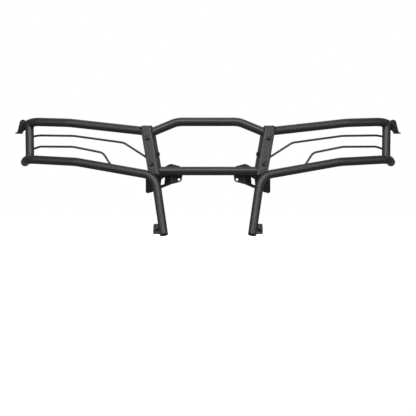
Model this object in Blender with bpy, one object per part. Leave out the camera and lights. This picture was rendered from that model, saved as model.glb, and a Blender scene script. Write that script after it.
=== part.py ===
"""Front grille guard for a side-by-side utility vehicle.

Three welded frames of round steel tube are bolted together: a centre section between two bent side plates,
and on each side a wing that wraps back to the fender and ends in a leg with a foot tab. Two bent brackets and
a set of M8 fasteners hold the guard to the vehicle.

X is to the right, Y runs back towards the vehicle and Z is up. The origin is the middle of the four bracket
bolts, on the face that lies against the vehicle. Sizes below are in millimetres, and MM makes them metres.
A place is written as (out, back, up): out is the distance from the centre plane, so one set of numbers serves
both sides, and back and up are measured from the axis of the centre section's bottom tube.
"""

import math

import bmesh
import bpy
from mathutils import Matrix, Vector

MM = 0.001
SIDES = {"left": -1, "right": 1}

# Stock
TUBE_R = 15.9
TUBE_WALL = 2.0
ROD_R = 4.0
PLATE_T = 4.0
GAP = 0.3
BEND_R = 6.0

# Tube and plate meshes
TUBE_SIDES = 12
ROD_SIDES = 8
BOLT_SIDES = 12
ARC_STEP = math.radians(13)

# How the side plates stand: leaning outward and back, turned so that the outer edge is further back
TILT = math.radians(10)
LEAN = math.radians(15)
PLATE_YAW = math.radians(14)
WING_YAW = math.radians(26)

# Clamp slots
SLOT_OUT, SLOT_BACK, SLOT_UP = 207.5, -5.4, 27.2
SLOT_PITCH = 100.0
SLOT_W = 9.0
SLOT_L = 15.5
CENTRE_SLOT_RISE = math.radians(25)

# Centre section
TOP_UP, TOP_BACK, TOP_BEND_OUT = 182.0, 48.5, 113.5
TOP_SLOPE = math.radians(22.6)
TOP_REACH, BOTTOM_REACH = 205.0, 178.0
CENTRE_BEND_R = 90.0
FLANGE_OUT, FLANGE_IN = 13.5, 20.5
WEB_DEPTH = 55.0
WEB_HOLE_UP, WEB_HOLE_BACK = 36.5, 22.0
TAB_OUT, TAB_W, TAB_BOTTOM, TAB_TOP, TAB_HOLE_UP = 104.0, 20.0, -24.4, 8.0, -14.0

# Wing
WING_PLATE_OUT, WING_PLATE_IN = 19.5, 11.4
COPE_REACH = 6.5
LEG_END = (161.5, -232.0)
LEG_CORNER = (193.5, -18.0)
LEG_BEND_R = 65.0
BOTTOM_BEND = (488.5, 34.7)
TOP_BEND = (514.5, 180.0)
WING_TOP_START = (223.0, 146.0)
WING_BEND_R = 120.0
UPRIGHT_FOOT = (663.0, 163.0, 44.0)
UPRIGHT_HEAD = (667.0, 202.0, 180.0)

# Rods: the height on the upright, the corners (out, back from the wing's inner end, up), their radii, and
# the inner end (out, up)
UPPER_ROD = (
    129.0, [(626.5, 159.0, 134.4), (498.5, 95.9, 131.4), (311.0, 43.2, 105.0)], [45.0, 60.0, 50.0], (230.0, 53.0)
)
LOWER_ROD = (
    80.0, [(624.0, 148.5, 92.7), (499.5, 87.0, 90.7), (387.5, 54.0, 68.0)], [45.0, 60.0, 35.0], (352.0, 12.0)
)

# Where each wing tube starts to turn back (out, up), its radius, end yaw, tail length and end height
TOP_TURN = (627.5, 184.7, 100.0, math.radians(65), 12.0, 173.0)
BOTTOM_TURN = (640.5, 43.7, 72.0, math.radians(82), 40.0, 36.0)

# Foot tab: where its slot is (out, up), its size and how far the slot is from its inner end
FOOT_SLOT = (195.0, -208.7)
FOOT_W, FOOT_HALF_H, FOOT_CORNER = 50.0, 19.5, 5.0
FOOT_SLOT_IN, FOOT_SLOT_L = 40.0, 20.0

# Fender hook
HOOK_SHIFT_OUT, HOOK_SHIFT_UP = 13.0, 8.0
HOOK_ARCH_R, HOOK_PAD_R = 14.0, 17.0
HOOK_LIP_DOWN, HOOK_LIP = 37.0, 16.0
HOOK_SCREWS = [(24.0, 2.0), (25.5, 14.5)]

# Bracket, seen from the front: (out, up) from its upper narrow hole
BRACKET_ANGLE = math.radians(40)
BRACKET_TURN = math.radians(7.3)
BRACKET_BENDS = (28.0, 97.0)
BRACKET_OUTLINE = [
    (-12.4, 22.4), (-7.4, -21.1), (-0.7, -26.1), (31.2, -34.5), (103.2, -63.0), (119.9, -68.0),
    (126.6, -63.0), (126.6, -6.0), (91.4, 7.4), (47.9, 34.2), (32.8, 40.9), (24.5, 39.2), (-0.7, 32.5),
]
BRACKET_WINDOW = [(54.0, -7.0), (56.0, -33.0), (71.0, -39.0), (69.0, -16.5)]
NARROW_HOLES = [(0.0, 0.0), (2.7, -17.1)]
WIDE_HOLES = [(113.2, -16.1), (117.6, -57.3)]

# Fasteners
HOLE_R = 4.5
BOLT_R = 4.0
HEX_FLAT, HEAD_H, NUT_H = 13.0, 5.3, 6.5
WASHER_R, WASHER_T = 10.0, 1.6
SMALL_WASHER_R = 8.0
SPRING_R, SPRING_T = 7.6, 1.7
VEHICLE_T = 5.0
SPACER_R, SPACER_L = 8.0, 14.0
SLEEVE_R, SLEEVE_L = 6.0, 35.0
SCREW_R, SCREW_HEAD_R, SCREW_L = 2.5, 4.6, 16.0

# The origin, in (back, up)
BRACKET_FRONT = TUBE_R + GAP + PLATE_T + GAP
BRACKET_DEPTH = (BRACKET_BENDS[1] - BRACKET_BENDS[0]) * math.tan(BRACKET_ANGLE)
ORIGIN_BACK = BRACKET_FRONT + PLATE_T + BRACKET_DEPTH
ORIGIN_UP = TAB_HOLE_UP + (WIDE_HOLES[0][1] + WIDE_HOLES[1][1]) / 2

MATERIALS = {
    "powder_coat": ((0.022, 0.022, 0.023), 0.46, 0.0),
    "bracket_coat": ((0.016, 0.017, 0.019), 0.52, 0.0),
    "black_hardware": ((0.020, 0.020, 0.020), 0.38, 0.6),
    "zinc": ((0.55, 0.55, 0.56), 0.32, 1.0),
    "black_plastic": ((0.018, 0.018, 0.018), 0.6, 0.0),
}


def clear_scene():
    for obj in list(bpy.data.objects):
        bpy.data.objects.remove(obj, do_unlink=True)


def material(name):
    """The Principled material of that name, made on first use."""
    found = bpy.data.materials.get(name)
    if found is None:
        colour, roughness, metallic = MATERIALS[name]
        found = bpy.data.materials.new(name)
        found.use_nodes = True
        shader = found.node_tree.nodes["Principled BSDF"]
        shader.inputs["Base Color"].default_value = (*colour, 1.0)
        shader.inputs["Roughness"].default_value = roughness
        shader.inputs["Metallic"].default_value = metallic
        found.diffuse_color = (*colour, 1.0)
    return found


class Frame:
    """Local axes on one side of the guard. across, along and back are directions for the right-hand side."""

    def __init__(self, side, origin, across, along, back):
        self.side = side
        self.origin = Vector(origin)
        self.axes = [Vector(axis).normalized() for axis in (across, along, back)]

    def local(self, across, along, back):
        """The (out, back, up) of a local point, in millimetres."""
        return self.origin + across * self.axes[0] + along * self.axes[1] + back * self.axes[2]

    def at(self, across, along=0.0, back=0.0):
        """The world place of a local point, in metres."""
        return world(self.side, self.local(across, along, back))

    def turned(self, direction):
        """A (out, back, up) direction in world axes."""
        return Vector((self.side * direction[0], direction[1], direction[2])).normalized()


def world(side, place):
    """A place (out, back, up) in millimetres as a world point in metres."""
    out, back, up = place
    return Vector((side * out, back - ORIGIN_BACK, up - ORIGIN_UP)) * MM


def plate_axes():
    """Directions of the side plates: across (outboard), along (up the slot line), through (to the rear)."""
    along = Vector((math.tan(TILT), math.tan(LEAN), 1)).normalized()
    level = Vector((math.cos(PLATE_YAW), math.sin(PLATE_YAW), 0))
    across = (level - level.dot(along) * along).normalized()
    return across, along, along.cross(across)


def plate_frame(side, back=0.0):
    """The clamp's frame: origin at the lower slot, on the flange's front face moved back by that distance."""
    across, along, through = plate_axes()
    origin = Vector((SLOT_OUT, SLOT_BACK, SLOT_UP)) + back * through
    return Frame(side, origin, across, along, through)


def in_plate_plane(out, up, back):
    """The place at (out, up) in the plane that lies the given distance behind the flange's front face."""
    _, _, through = plate_axes()
    origin = Vector((SLOT_OUT, SLOT_BACK, SLOT_UP)) + back * through
    run = through.x * (out - origin.x) + through.z * (up - origin.z)
    return Vector((out, origin.y - run / through.y, up))


def add_object(name, bm, finish, parent, origin):
    """A mesh object from world-space geometry in bm, with its origin moved to the given world point."""
    bmesh.ops.recalc_face_normals(bm, faces=bm.faces)
    bmesh.ops.translate(bm, verts=bm.verts, vec=-origin)
    mesh = bpy.data.meshes.new(name)
    bm.to_mesh(mesh)
    bm.free()
    mesh.shade_smooth()
    mesh.set_sharp_from_angle(angle=math.radians(35))
    obj = bpy.data.objects.new(name, mesh)
    bpy.context.scene.collection.objects.link(obj)
    obj.location = origin
    obj.data.materials.append(material(finish))
    obj.parent = parent
    obj.matrix_parent_inverse = Matrix.Translation(parent.location).inverted()
    return obj


def add_empty(name, place):
    empty = bpy.data.objects.new(name, None)
    empty.empty_display_size = 30 * MM
    empty.location = place
    bpy.context.scene.collection.objects.link(empty)
    return empty


def cut(obj, cutter):
    """Takes the cutter's shape out of obj. The cutter stays as a hidden guide."""
    cutter.hide_render = True
    cutter.display_type = "WIRE"
    modifier = obj.modifiers.new("cut_" + cutter.name, "BOOLEAN")
    modifier.operation = "DIFFERENCE"
    modifier.object = cutter


# Tubes and rods


def rounded_path(corners, radii):
    """Straight runs through the corners, with an arc of the given radius at each inner corner."""
    path = [corners[0]]
    for before, corner, after, radius in zip(corners, corners[1:], corners[2:], radii):
        towards = (before - corner).normalized()
        away = (after - corner).normalized()
        half = towards.angle(away) / 2
        centre = corner + (towards + away).normalized() * radius / math.sin(half)
        first = corner + towards * radius / math.tan(half) - centre
        last = corner + away * radius / math.tan(half) - centre
        turn = first.angle(last)
        steps = max(1, math.ceil(turn / ARC_STEP))
        axis = first.cross(last)
        for step in range(steps + 1):
            path.append(centre + Matrix.Rotation(turn * step / steps, 3, axis) @ first)
    path.append(corners[-1])
    return path


def path_rings(path, radius, sides, start_normal):
    """Rings of points round a path, carried along it without twist."""
    directions = []
    for index in range(len(path)):
        before = (path[index] - path[max(index - 1, 0)]).normalized()
        after = (path[min(index + 1, len(path) - 1)] - path[index]).normalized()
        directions.append((before + after).normalized())
    normal = start_normal
    rings = []
    for point, direction in zip(path, directions):
        normal = (normal - normal.dot(direction) * direction).normalized()
        binormal = direction.cross(normal)
        turns = [2 * math.pi * k / sides for k in range(sides)]
        rings.append([point + radius * (math.cos(t) * normal + math.sin(t) * binormal) for t in turns])
    return rings


def onto_plane(ring, direction, plane):
    """Slides a ring's points along the tube until they lie on a plane (point, normal)."""
    point, normal = plane
    return [p + direction * ((point - p).dot(normal) / direction.dot(normal)) for p in ring]


def skin(bm, loops, closed):
    """Joins neighbouring rings with quads, and the last to the first where the section is closed."""
    rings = [[bm.verts.new(p) for p in loop] for loop in loops]
    pairs = list(zip(rings, rings[1:] + rings[:1])) if closed else list(zip(rings, rings[1:]))
    for low, high in pairs:
        for k in range(len(low)):
            n = (k + 1) % len(low)
            bm.faces.new((low[k], low[n], high[n], high[k]))
    if not closed:
        bm.faces.new(rings[0][::-1])
        bm.faces.new(rings[-1])


def sweep(path, radius, sides, start_normal, wall=0.0, start_plane=None, end_plane=None):
    """A round bar along a path or, with a wall, a pipe that is open at both ends. World units throughout."""
    bm = bmesh.new()
    skins = []
    for r in [radius] + ([radius - wall] if wall else []):
        rings = path_rings(path, r, sides, start_normal)
        if start_plane:
            rings[0] = onto_plane(rings[0], (path[1] - path[0]).normalized(), start_plane)
        if end_plane:
            rings[-1] = onto_plane(rings[-1], (path[-1] - path[-2]).normalized(), end_plane)
        skins.append(rings)
    loops = skins[0] + (skins[1][::-1] if wall else [])
    skin(bm, loops, closed=bool(wall))
    return bm


def world_path(side, corners, radii):
    return [world(side, place) for place in rounded_path([Vector(c) for c in corners], radii)]


def clearance(name, path, radius, start_normal, parent):
    """A solid that follows a tube or rod with a little room round it, for cutting its neighbours."""
    bm = sweep(path, (radius + GAP) * MM, TUBE_SIDES, start_normal)
    return add_object(name, bm, "powder_coat", parent, path[0])


# Folded and flat sheet


class Fold:
    """The middle line of a folded sheet in its (across, back) plane: straight runs joined by arcs."""

    def __init__(self, corners, radius, steps=3):
        self.points = []
        points = [Vector(c) for c in corners]
        line = [points[0]]
        for before, corner, after in zip(points, points[1:], points[2:]):
            towards, away = (before - corner).normalized(), (after - corner).normalized()
            half = towards.angle(away) / 2
            centre = corner + (towards + away).normalized() * radius / math.sin(half)
            first = corner + towards * radius / math.tan(half) - centre
            last = corner + away * radius / math.tan(half) - centre
            turn = first.angle_signed(last)
            for step in range(steps + 1):
                line.append(centre + Matrix.Rotation(-turn * step / steps, 2) @ first)
        line.append(points[-1])
        length = 0.0
        for index, point in enumerate(line):
            if index:
                length += (point - line[index - 1]).length
            self.points.append((length, point))
        self.stations = [length for length, _ in self.points[1:-1]]

    def place(self, length):
        """The point at a length along the sheet, and the unit normal there."""
        for (l0, p0), (l1, p1) in zip(self.points, self.points[1:]):
            if length <= l1 or l1 == self.points[-1][0]:
                along = (p1 - p0) / (l1 - l0)
                return p0 + along * (length - l0), along
        raise ValueError("the sheet is longer than its fold")

    def offset(self, length, thickness):
        """The point on the sheet's face, thickness away from its middle line."""
        point, along = self.place(length)
        for index, (station, _) in enumerate(self.points[1:-1], start=1):
            if abs(station - length) < 1e-6:
                before = (self.points[index][1] - self.points[index - 1][1]).normalized()
                after = (self.points[index + 1][1] - self.points[index][1]).normalized()
                mean = (before + after).normalized()
                normal = Vector((-mean.y, mean.x)) / mean.dot(before)
                return point + normal * thickness
        return point + Vector((-along.y, along.x)) * thickness

    def reach(self, across):
        """The length along the sheet at which it has gone that far across."""
        for (l0, p0), (l1, p1) in zip(self.points, self.points[1:]):
            if across <= p1.x or l1 == self.points[-1][0]:
                return l0 + (l1 - l0) * (across - p0.x) / (p1.x - p0.x)
        raise ValueError("the sheet doesn't reach that far")


def arc_points(centre, radius, start, end, steps):
    """Points on a circle between two angles, both ends included."""
    angles = [start + (end - start) * k / steps for k in range(steps + 1)]
    return [(centre[0] + radius * math.cos(a), centre[1] + radius * math.sin(a)) for a in angles]


def round_hole(centre, radius=HOLE_R, steps=12):
    return arc_points(centre, radius, 0, 2 * math.pi * (steps - 1) / steps, steps - 1)


def slot(centre, length, width, angle, steps=5):
    """A long hole with round ends, its length lying at an angle to the first axis."""
    half = (length - width) / 2
    axis = Vector((math.cos(angle), math.sin(angle)))
    middle = Vector(centre)
    quarter = math.pi / 2
    far = arc_points(middle + half * axis, width / 2, angle - quarter, angle + quarter, steps)
    near = arc_points(middle - half * axis, width / 2, angle + quarter, angle + 3 * quarter, steps)
    return far + near


def sheet(name, outline, holes, fold, frame, finish, parent, thickness=PLATE_T):
    """A plate cut to an outline with holes, then folded. An outline point is (length on the fold, along)."""
    bm = bmesh.new()
    for loop in [outline] + holes:
        verts = [bm.verts.new((x, y, 0)) for x, y in loop]
        for first, second in zip(verts, verts[1:] + verts[:1]):
            bm.edges.new((first, second))
    bmesh.ops.triangle_fill(bm, use_beauty=True, edges=bm.edges)
    for station in fold.stations:
        geometry = bm.verts[:] + bm.edges[:] + bm.faces[:]
        bmesh.ops.bisect_plane(bm, geom=geometry, dist=1e-5, plane_co=(station, 0, 0), plane_no=(1, 0, 0))
    front = bm.faces[:]
    back = bmesh.ops.extrude_face_region(bm, geom=front)
    for vert in [v for v in back["geom"] if isinstance(v, bmesh.types.BMVert)]:
        vert.co.z = 1.0
    for vert in bm.verts:
        point = fold.offset(vert.co.x, (vert.co.z - 0.5) * thickness)
        vert.co = frame.at(point.x, vert.co.y, point.y)
    return add_object(name, bm, finish, parent, frame.at(0, 0, 0))


def flat(reach=1000.0):
    """No fold: lengths along the sheet are measured from the frame's origin."""
    return Fold([(0.0, PLATE_T / 2), (reach, PLATE_T / 2)], BEND_R)


# Fasteners, turned about their own Z axis


def ring_points(radius, height, hexagon=False):
    """BOLT_SIDES points. On a hexagon every second one is a corner and the radius is half the flat."""
    points = []
    for k in range(BOLT_SIDES):
        angle = 2 * math.pi * k / BOLT_SIDES
        r = radius / math.cos(math.pi / 6) if hexagon and k % 2 == 0 else radius
        points.append(Vector((r * math.cos(angle), r * math.sin(angle), height)) * MM)
    return points


def turned_mesh(name, section, closed):
    """A mesh from rings (radius, height, hexagon). A closed section has a bore through it."""
    bm = bmesh.new()
    skin(bm, [ring_points(*ring) for ring in section], closed)
    bmesh.ops.recalc_face_normals(bm, faces=bm.faces)
    mesh = bpy.data.meshes.new(name)
    bm.to_mesh(mesh)
    bm.free()
    mesh.shade_smooth()
    mesh.set_sharp_from_angle(angle=math.radians(28))
    return mesh


def bolt_mesh(name, length, washer_r=WASHER_R):
    """A hex bolt with its two washers. Z = 0 is the clamping face and the shank runs to -length."""
    head = HEX_FLAT / 2
    stack = WASHER_T + SPRING_T
    section = [
        (head * 0.86, stack + HEAD_H, False),
        (head, stack + HEAD_H - 1.0, True),
        (head, stack, True),
        (SPRING_R, stack, False),
        (SPRING_R, WASHER_T, False),
        (washer_r, WASHER_T, False),
        (washer_r, 0.0, False),
        (BOLT_R, 0.0, False),
        (BOLT_R, -length + 1.0, False),
        (BOLT_R - 1.0, -length, False),
    ]
    return turned_mesh(name, section, closed=False)


def nut_mesh(name, washer_r, washer_t, height):
    """A hex nut with its washer or flange. Z = 0 is the clamping face and the nut stands on +Z."""
    half = HEX_FLAT / 2
    section = [
        (HOLE_R, 0.0, False),
        (washer_r, 0.0, False),
        (washer_r, washer_t, False),
        (half, washer_t, True),
        (half, washer_t + height - 1.0, True),
        (half * 0.9, washer_t + height, False),
        (HOLE_R, washer_t + height, False),
    ]
    return turned_mesh(name, section, closed=True)


def sleeve_mesh(name, radius, length):
    section = [(HOLE_R, 0.0), (radius, 0.0), (radius, length), (HOLE_R, length)]
    return turned_mesh(name, [(r, z, False) for r, z in section], closed=True)


def screw_mesh(name):
    section = [
        (SCREW_HEAD_R * 0.6, 2.8),
        (SCREW_HEAD_R, 1.4),
        (SCREW_HEAD_R, 0.0),
        (SCREW_R, 0.0),
        (SCREW_R, -SCREW_L + 3.0),
        (0.8, -SCREW_L),
    ]
    return turned_mesh(name, [(r, z, False) for r, z in section], closed=False)


def cap_mesh(name):
    """A domed plug. Z = 0 is where the tube ends, the plug goes to -Z and the dome stands on +Z."""
    section = [
        (TUBE_R * 0.45, 5.6),
        (TUBE_R * 0.82, 3.9),
        (TUBE_R, 1.2),
        (TUBE_R, GAP),
        (TUBE_R - TUBE_WALL - 0.6, GAP),
        (TUBE_R - TUBE_WALL - 0.6, -10.0),
    ]
    return turned_mesh(name, [(r, z, False) for r, z in section], closed=False)


def put(name, mesh, finish, place, axis, parent):
    """A turned piece placed with its own Z along a world axis."""
    obj = bpy.data.objects.new(name, mesh)
    bpy.context.scene.collection.objects.link(obj)
    if not mesh.materials:
        mesh.materials.append(material(finish))
    obj.location = place
    obj.rotation_euler = axis.to_track_quat("Z", "Y").to_euler()
    obj.parent = parent
    obj.matrix_parent_inverse = Matrix.Translation(parent.location).inverted()
    return obj


def fastener_meshes():
    grip = PLATE_T + GAP + PLATE_T + 2 * GAP
    return {
        "clamp_bolt": bolt_mesh("clamp_bolt", grip + WASHER_T + NUT_H + 3.0),
        "nut": nut_mesh("nut", WASHER_R, WASHER_T, NUT_H),
        "vehicle_bolt": bolt_mesh("vehicle_bolt", PLATE_T + VEHICLE_T + NUT_H + 2.5, SMALL_WASHER_R),
        "vehicle_nut": nut_mesh("vehicle_nut", SMALL_WASHER_R, WASHER_T, NUT_H),
        "bracket_bolt": bolt_mesh("bracket_bolt", 2 * PLATE_T + 3 * GAP + 1.2, SMALL_WASHER_R),
        "web_bolt": bolt_mesh("web_bolt", PLATE_T + 16.0, SMALL_WASHER_R),
        "foot_bolt": bolt_mesh("foot_bolt", 40.0),
        "flange_nut": nut_mesh("flange_nut", 8.9, 1.4, NUT_H),
        "foot_spacer": sleeve_mesh("foot_spacer", SPACER_R, SPACER_L),
        "standoff": sleeve_mesh("standoff", SLEEVE_R, SLEEVE_L),
        "screw": screw_mesh("screw"),
        "cap": cap_mesh("cap"),
    }


# Centre section


def side_fold():
    """The side plate's fold, from the flange (running inboard) round to the web (running back)."""
    half = PLATE_T / 2
    return Fold([(-FLANGE_OUT, half), (FLANGE_IN, half), (FLANGE_IN, WEB_DEPTH)], BEND_R, steps=3)


def make_side_plate(side_name, side, parent):
    """The L-shaped plate at the end of the centre section: slotted flange in front, drilled web behind."""
    across, along, through = plate_axes()
    base = plate_frame(side)
    frame = Frame(side, base.origin, -across, along, through)
    fold = side_fold()
    edge = fold.points[-1][0]
    flange_end = FLANGE_OUT + FLANGE_IN - BEND_R
    top_outer, top_inner, bottom = 152.0, 144.5, -47.6
    outline = [
        (0.0, -13.9), (0.0, top_outer - 4.0), (4.0, top_outer - 1.0), (flange_end, top_inner),
        (edge, top_inner), (edge, bottom + 6.0), (edge - 6.0, bottom), (flange_end, bottom),
    ]
    holes = []
    for height in (0.0, SLOT_PITCH):
        holes.append(slot((FLANGE_OUT, height), SLOT_L, SLOT_W, CENTRE_SLOT_RISE))
    web_start = edge - (WEB_DEPTH - BEND_R - PLATE_T / 2)
    holes.append(round_hole((web_start + WEB_HOLE_BACK - BEND_R - PLATE_T / 2, WEB_HOLE_UP)))
    return sheet(f"{side_name}_side_plate", outline, holes, fold, frame, "powder_coat", parent)


def make_centre_tubes(parent):
    """The arched top tube and the straight bottom tube, both ending on the webs' inner faces."""
    across, _, through = plate_axes()
    inner_face = -(FLANGE_IN + PLATE_T / 2 + GAP)
    planes = {}
    for side in SIDES.values():
        frame = plate_frame(side)
        planes[side] = (frame.at(inner_face), frame.turned(across))
    fall = math.tan(TOP_SLOPE)
    drop = (TOP_REACH - TOP_BEND_OUT) * fall
    end = (TOP_REACH, TOP_BACK - drop * math.tan(LEAN), TOP_UP - drop)
    shoulder = (TOP_BEND_OUT, TOP_BACK, TOP_UP)
    corners = [(-end[0], *end[1:]), (-shoulder[0], *shoulder[1:]), shoulder, end]
    path = world_path(1, corners, [CENTRE_BEND_R] * 2)
    up = Vector((0, 0, 1))
    bm = sweep(path, TUBE_R * MM, TUBE_SIDES, up, TUBE_WALL * MM, planes[-1], planes[1])
    add_object("centre_top_tube", bm, "powder_coat", parent, world(1, (0, TOP_BACK, TOP_UP)))
    path = world_path(1, [(-BOTTOM_REACH, 0, 0), (BOTTOM_REACH, 0, 0)], [])
    bm = sweep(path, TUBE_R * MM, TUBE_SIDES, up, TUBE_WALL * MM, planes[-1], planes[1])
    add_object("centre_bottom_tube", bm, "powder_coat", parent, world(1, (0, 0, 0)))


def make_lower_tab(side_name, side, parent):
    """The small round-ended tab behind the bottom tube that takes the bracket's bolt."""
    half = TAB_W / 2
    frame = Frame(side, (TAB_OUT - half, TUBE_R + GAP, 0), (1, 0, 0), (0, 0, 1), (0, 1, 0))
    round_end = arc_points((half, TAB_BOTTOM + half), half, math.pi, 2 * math.pi, 8)
    outline = round_end + [(TAB_W, TAB_TOP), (0.0, TAB_TOP)]
    hole = round_hole((half, TAB_HOLE_UP))
    sheet(f"{side_name}_lower_tab", outline, [hole], flat(), frame, "powder_coat", parent)


def make_bracket(side_name, side, parent):
    """The twice-folded bracket from the lower tab to the vehicle, and the frame it is drawn in."""
    turn = BRACKET_TURN
    across = (math.cos(turn), 0, math.sin(turn))
    along = (-math.sin(turn), 0, math.cos(turn))
    frame = Frame(side, (TAB_OUT, BRACKET_FRONT, TAB_HOLE_UP), across, along, (0, 1, 0))
    half = PLATE_T / 2
    inner, outer = BRACKET_BENDS
    corners = [(-20.0, half), (inner, half), (outer, half + BRACKET_DEPTH), (150.0, half + BRACKET_DEPTH)]
    fold = Fold(corners, BEND_R, steps=2)

    def drawn(points):
        turned = [(x * across[0] + y * across[2], x * along[0] + y * along[2]) for x, y in points]
        return [(fold.reach(x), y) for x, y in turned]

    holes = [drawn(BRACKET_WINDOW)]
    for x, y in NARROW_HOLES + WIDE_HOLES:
        holes.append(drawn(round_hole((x, y))))
    return sheet(f"{side_name}_bracket", drawn(BRACKET_OUTLINE), holes, fold, frame, "bracket_coat", parent)


def fit_centre_fasteners(side_name, side, parent, meshes):
    """Bracket bolts, web bolts with their stand-off sleeves, and the bolts and nuts to the vehicle."""
    forward, backward = Vector((0, -1, 0)), Vector((0, 1, 0))
    place = world(side, (TAB_OUT, BRACKET_FRONT + PLATE_T + GAP, TAB_HOLE_UP))
    put(f"{side_name}_bracket_bolt", meshes["bracket_bolt"], "black_hardware", place, backward, parent)
    across, _, _ = plate_axes()
    frame = plate_frame(side)
    outboard = frame.turned(across)
    inside = frame.at(-(FLANGE_IN + PLATE_T / 2 + GAP), WEB_HOLE_UP, WEB_HOLE_BACK)
    put(f"{side_name}_web_bolt", meshes["web_bolt"], "black_hardware", inside, -outboard, parent)
    outside = frame.at(-(FLANGE_IN - PLATE_T / 2 - GAP), WEB_HOLE_UP, WEB_HOLE_BACK)
    put(f"{side_name}_standoff_sleeve", meshes["standoff"], "zinc", outside, outboard, parent)
    front = BRACKET_FRONT + BRACKET_DEPTH
    rear = front + PLATE_T + VEHICLE_T
    for level, (out, up) in zip(("upper", "lower"), WIDE_HOLES):
        spot = (TAB_OUT + out, front - GAP, TAB_HOLE_UP + up)
        name = f"{side_name}_{level}_vehicle"
        put(f"{name}_bolt", meshes["vehicle_bolt"], "black_hardware", world(side, spot), forward, parent)
        spot = (TAB_OUT + out, rear, TAB_HOLE_UP + up)
        put(f"{name}_nut", meshes["vehicle_nut"], "black_hardware", world(side, spot), backward, parent)


# Clamps


def fit_clamp(side_name, side, meshes):
    """Two bolts and nuts that hold a wing plate behind the centre section's flange."""
    _, _, through = plate_axes()
    frame = plate_frame(side)
    parent = add_empty(f"{side_name}_clamp", frame.at(0, 0, 0))
    backward = frame.turned(through)
    rear = 2 * PLATE_T + GAP
    for level, height in (("lower", 0.0), ("upper", SLOT_PITCH)):
        place = frame.at(0, height, -GAP)
        name = f"{side_name}_{level}_clamp"
        put(f"{name}_bolt", meshes["clamp_bolt"], "black_hardware", place, -backward, parent)
        place = frame.at(0, height, rear + GAP)
        put(f"{name}_nut", meshes["nut"], "black_hardware", place, backward, parent)


# Wings


def outer_turn(bend, turn):
    """The corner and the end of a wing tube's outer bend, from the wing's yaw to the tube's end yaw."""
    out, up, radius, end_yaw, tail, end_up = turn
    reach = radius * math.tan((end_yaw - WING_YAW) / 2)
    along = out - bend.x + reach * math.cos(WING_YAW)
    rise = along * (up - bend.z) / (out - bend.x)
    corner = bend + Vector((along, along * math.tan(WING_YAW), rise))
    end = corner + (reach + tail) * Vector((math.cos(end_yaw), math.sin(end_yaw), 0))
    end.z = end_up
    return corner, end


def wing_paths():
    """The corners and radii of both wing tubes. The inner runs lie in the wing plate's middle plane."""
    middle = PLATE_T + GAP + PLATE_T / 2
    start = in_plate_plane(*WING_TOP_START, middle)
    bend = in_plate_plane(*TOP_BEND, middle)
    top = ([start, bend, *outer_turn(bend, TOP_TURN)], [WING_BEND_R, TOP_TURN[2]])
    leg = in_plate_plane(*LEG_END, middle)
    knee = in_plate_plane(*LEG_CORNER, middle)
    bend = in_plate_plane(*BOTTOM_BEND, middle)
    corners = [leg, knee, bend, *outer_turn(bend, BOTTOM_TURN)]
    bottom = (corners, [LEG_BEND_R, WING_BEND_R, BOTTOM_TURN[2]])
    return top, bottom


def make_wing_tubes(side_name, side, parent):
    """Top tube, bottom tube with its leg, and upright. Returns the cutters for what meets the last two."""
    (top_corners, top_radii), (bottom_corners, bottom_radii) = wing_paths()
    up = Vector((0, 0, 1))
    forward = Vector((0, -1, 0))
    across, _, _ = plate_axes()
    frame = plate_frame(side)
    radius, wall = TUBE_R * MM, TUBE_WALL * MM

    path = world_path(side, top_corners, top_radii)
    inner = (frame.at(WING_PLATE_OUT - COPE_REACH), frame.turned(across))
    end_yaw = TOP_TURN[3]
    square = (path[-1], frame.turned((math.cos(end_yaw), math.sin(end_yaw), 0)))
    bm = sweep(path, radius, TUBE_SIDES, up, wall, start_plane=inner, end_plane=square)
    top = add_object(f"{side_name}_wing_top_tube", bm, "powder_coat", parent, path[0])
    cut(top, cope_cutter(side_name, side, parent))
    top_room = clearance(f"{side_name}_top_tube_room", path, TUBE_R, up, parent)

    path = world_path(side, bottom_corners, bottom_radii)
    bm = sweep(path, radius, TUBE_SIDES, forward, wall)
    add_object(f"{side_name}_wing_bottom_tube", bm, "powder_coat", parent, path[0])
    bottom_room = clearance(f"{side_name}_bottom_tube_room", path, TUBE_R, forward, parent)

    path = world_path(side, [UPRIGHT_FOOT, UPRIGHT_HEAD], [])
    bm = sweep(path, radius, TUBE_SIDES, forward, wall)
    upright = add_object(f"{side_name}_wing_upright", bm, "powder_coat", parent, path[0])
    cut(upright, top_room)
    cut(upright, bottom_room)
    upright_room = clearance(f"{side_name}_upright_room", path, TUBE_R, forward, parent)
    return bottom_room, upright_room


def cope_cutter(side_name, side, parent):
    """The block that notches the top tube's end so that only its rear half reaches behind the wing plate."""
    frame = plate_frame(side)
    rear = 2 * PLATE_T + 2 * GAP
    bm = bmesh.new()
    edge = WING_PLATE_OUT + GAP
    corners = [(a, h, b) for a in (edge, -40.0) for h in (60.0, 190.0) for b in (-40.0, rear)]
    verts = [bm.verts.new(frame.at(*corner)) for corner in corners]
    for face in ((0, 1, 3, 2), (4, 5, 7, 6), (0, 1, 5, 4), (2, 3, 7, 6), (0, 2, 6, 4), (1, 3, 7, 5)):
        bm.faces.new([verts[k] for k in face])
    return add_object(f"{side_name}_cope", bm, "powder_coat", parent, frame.at(edge))


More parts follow.
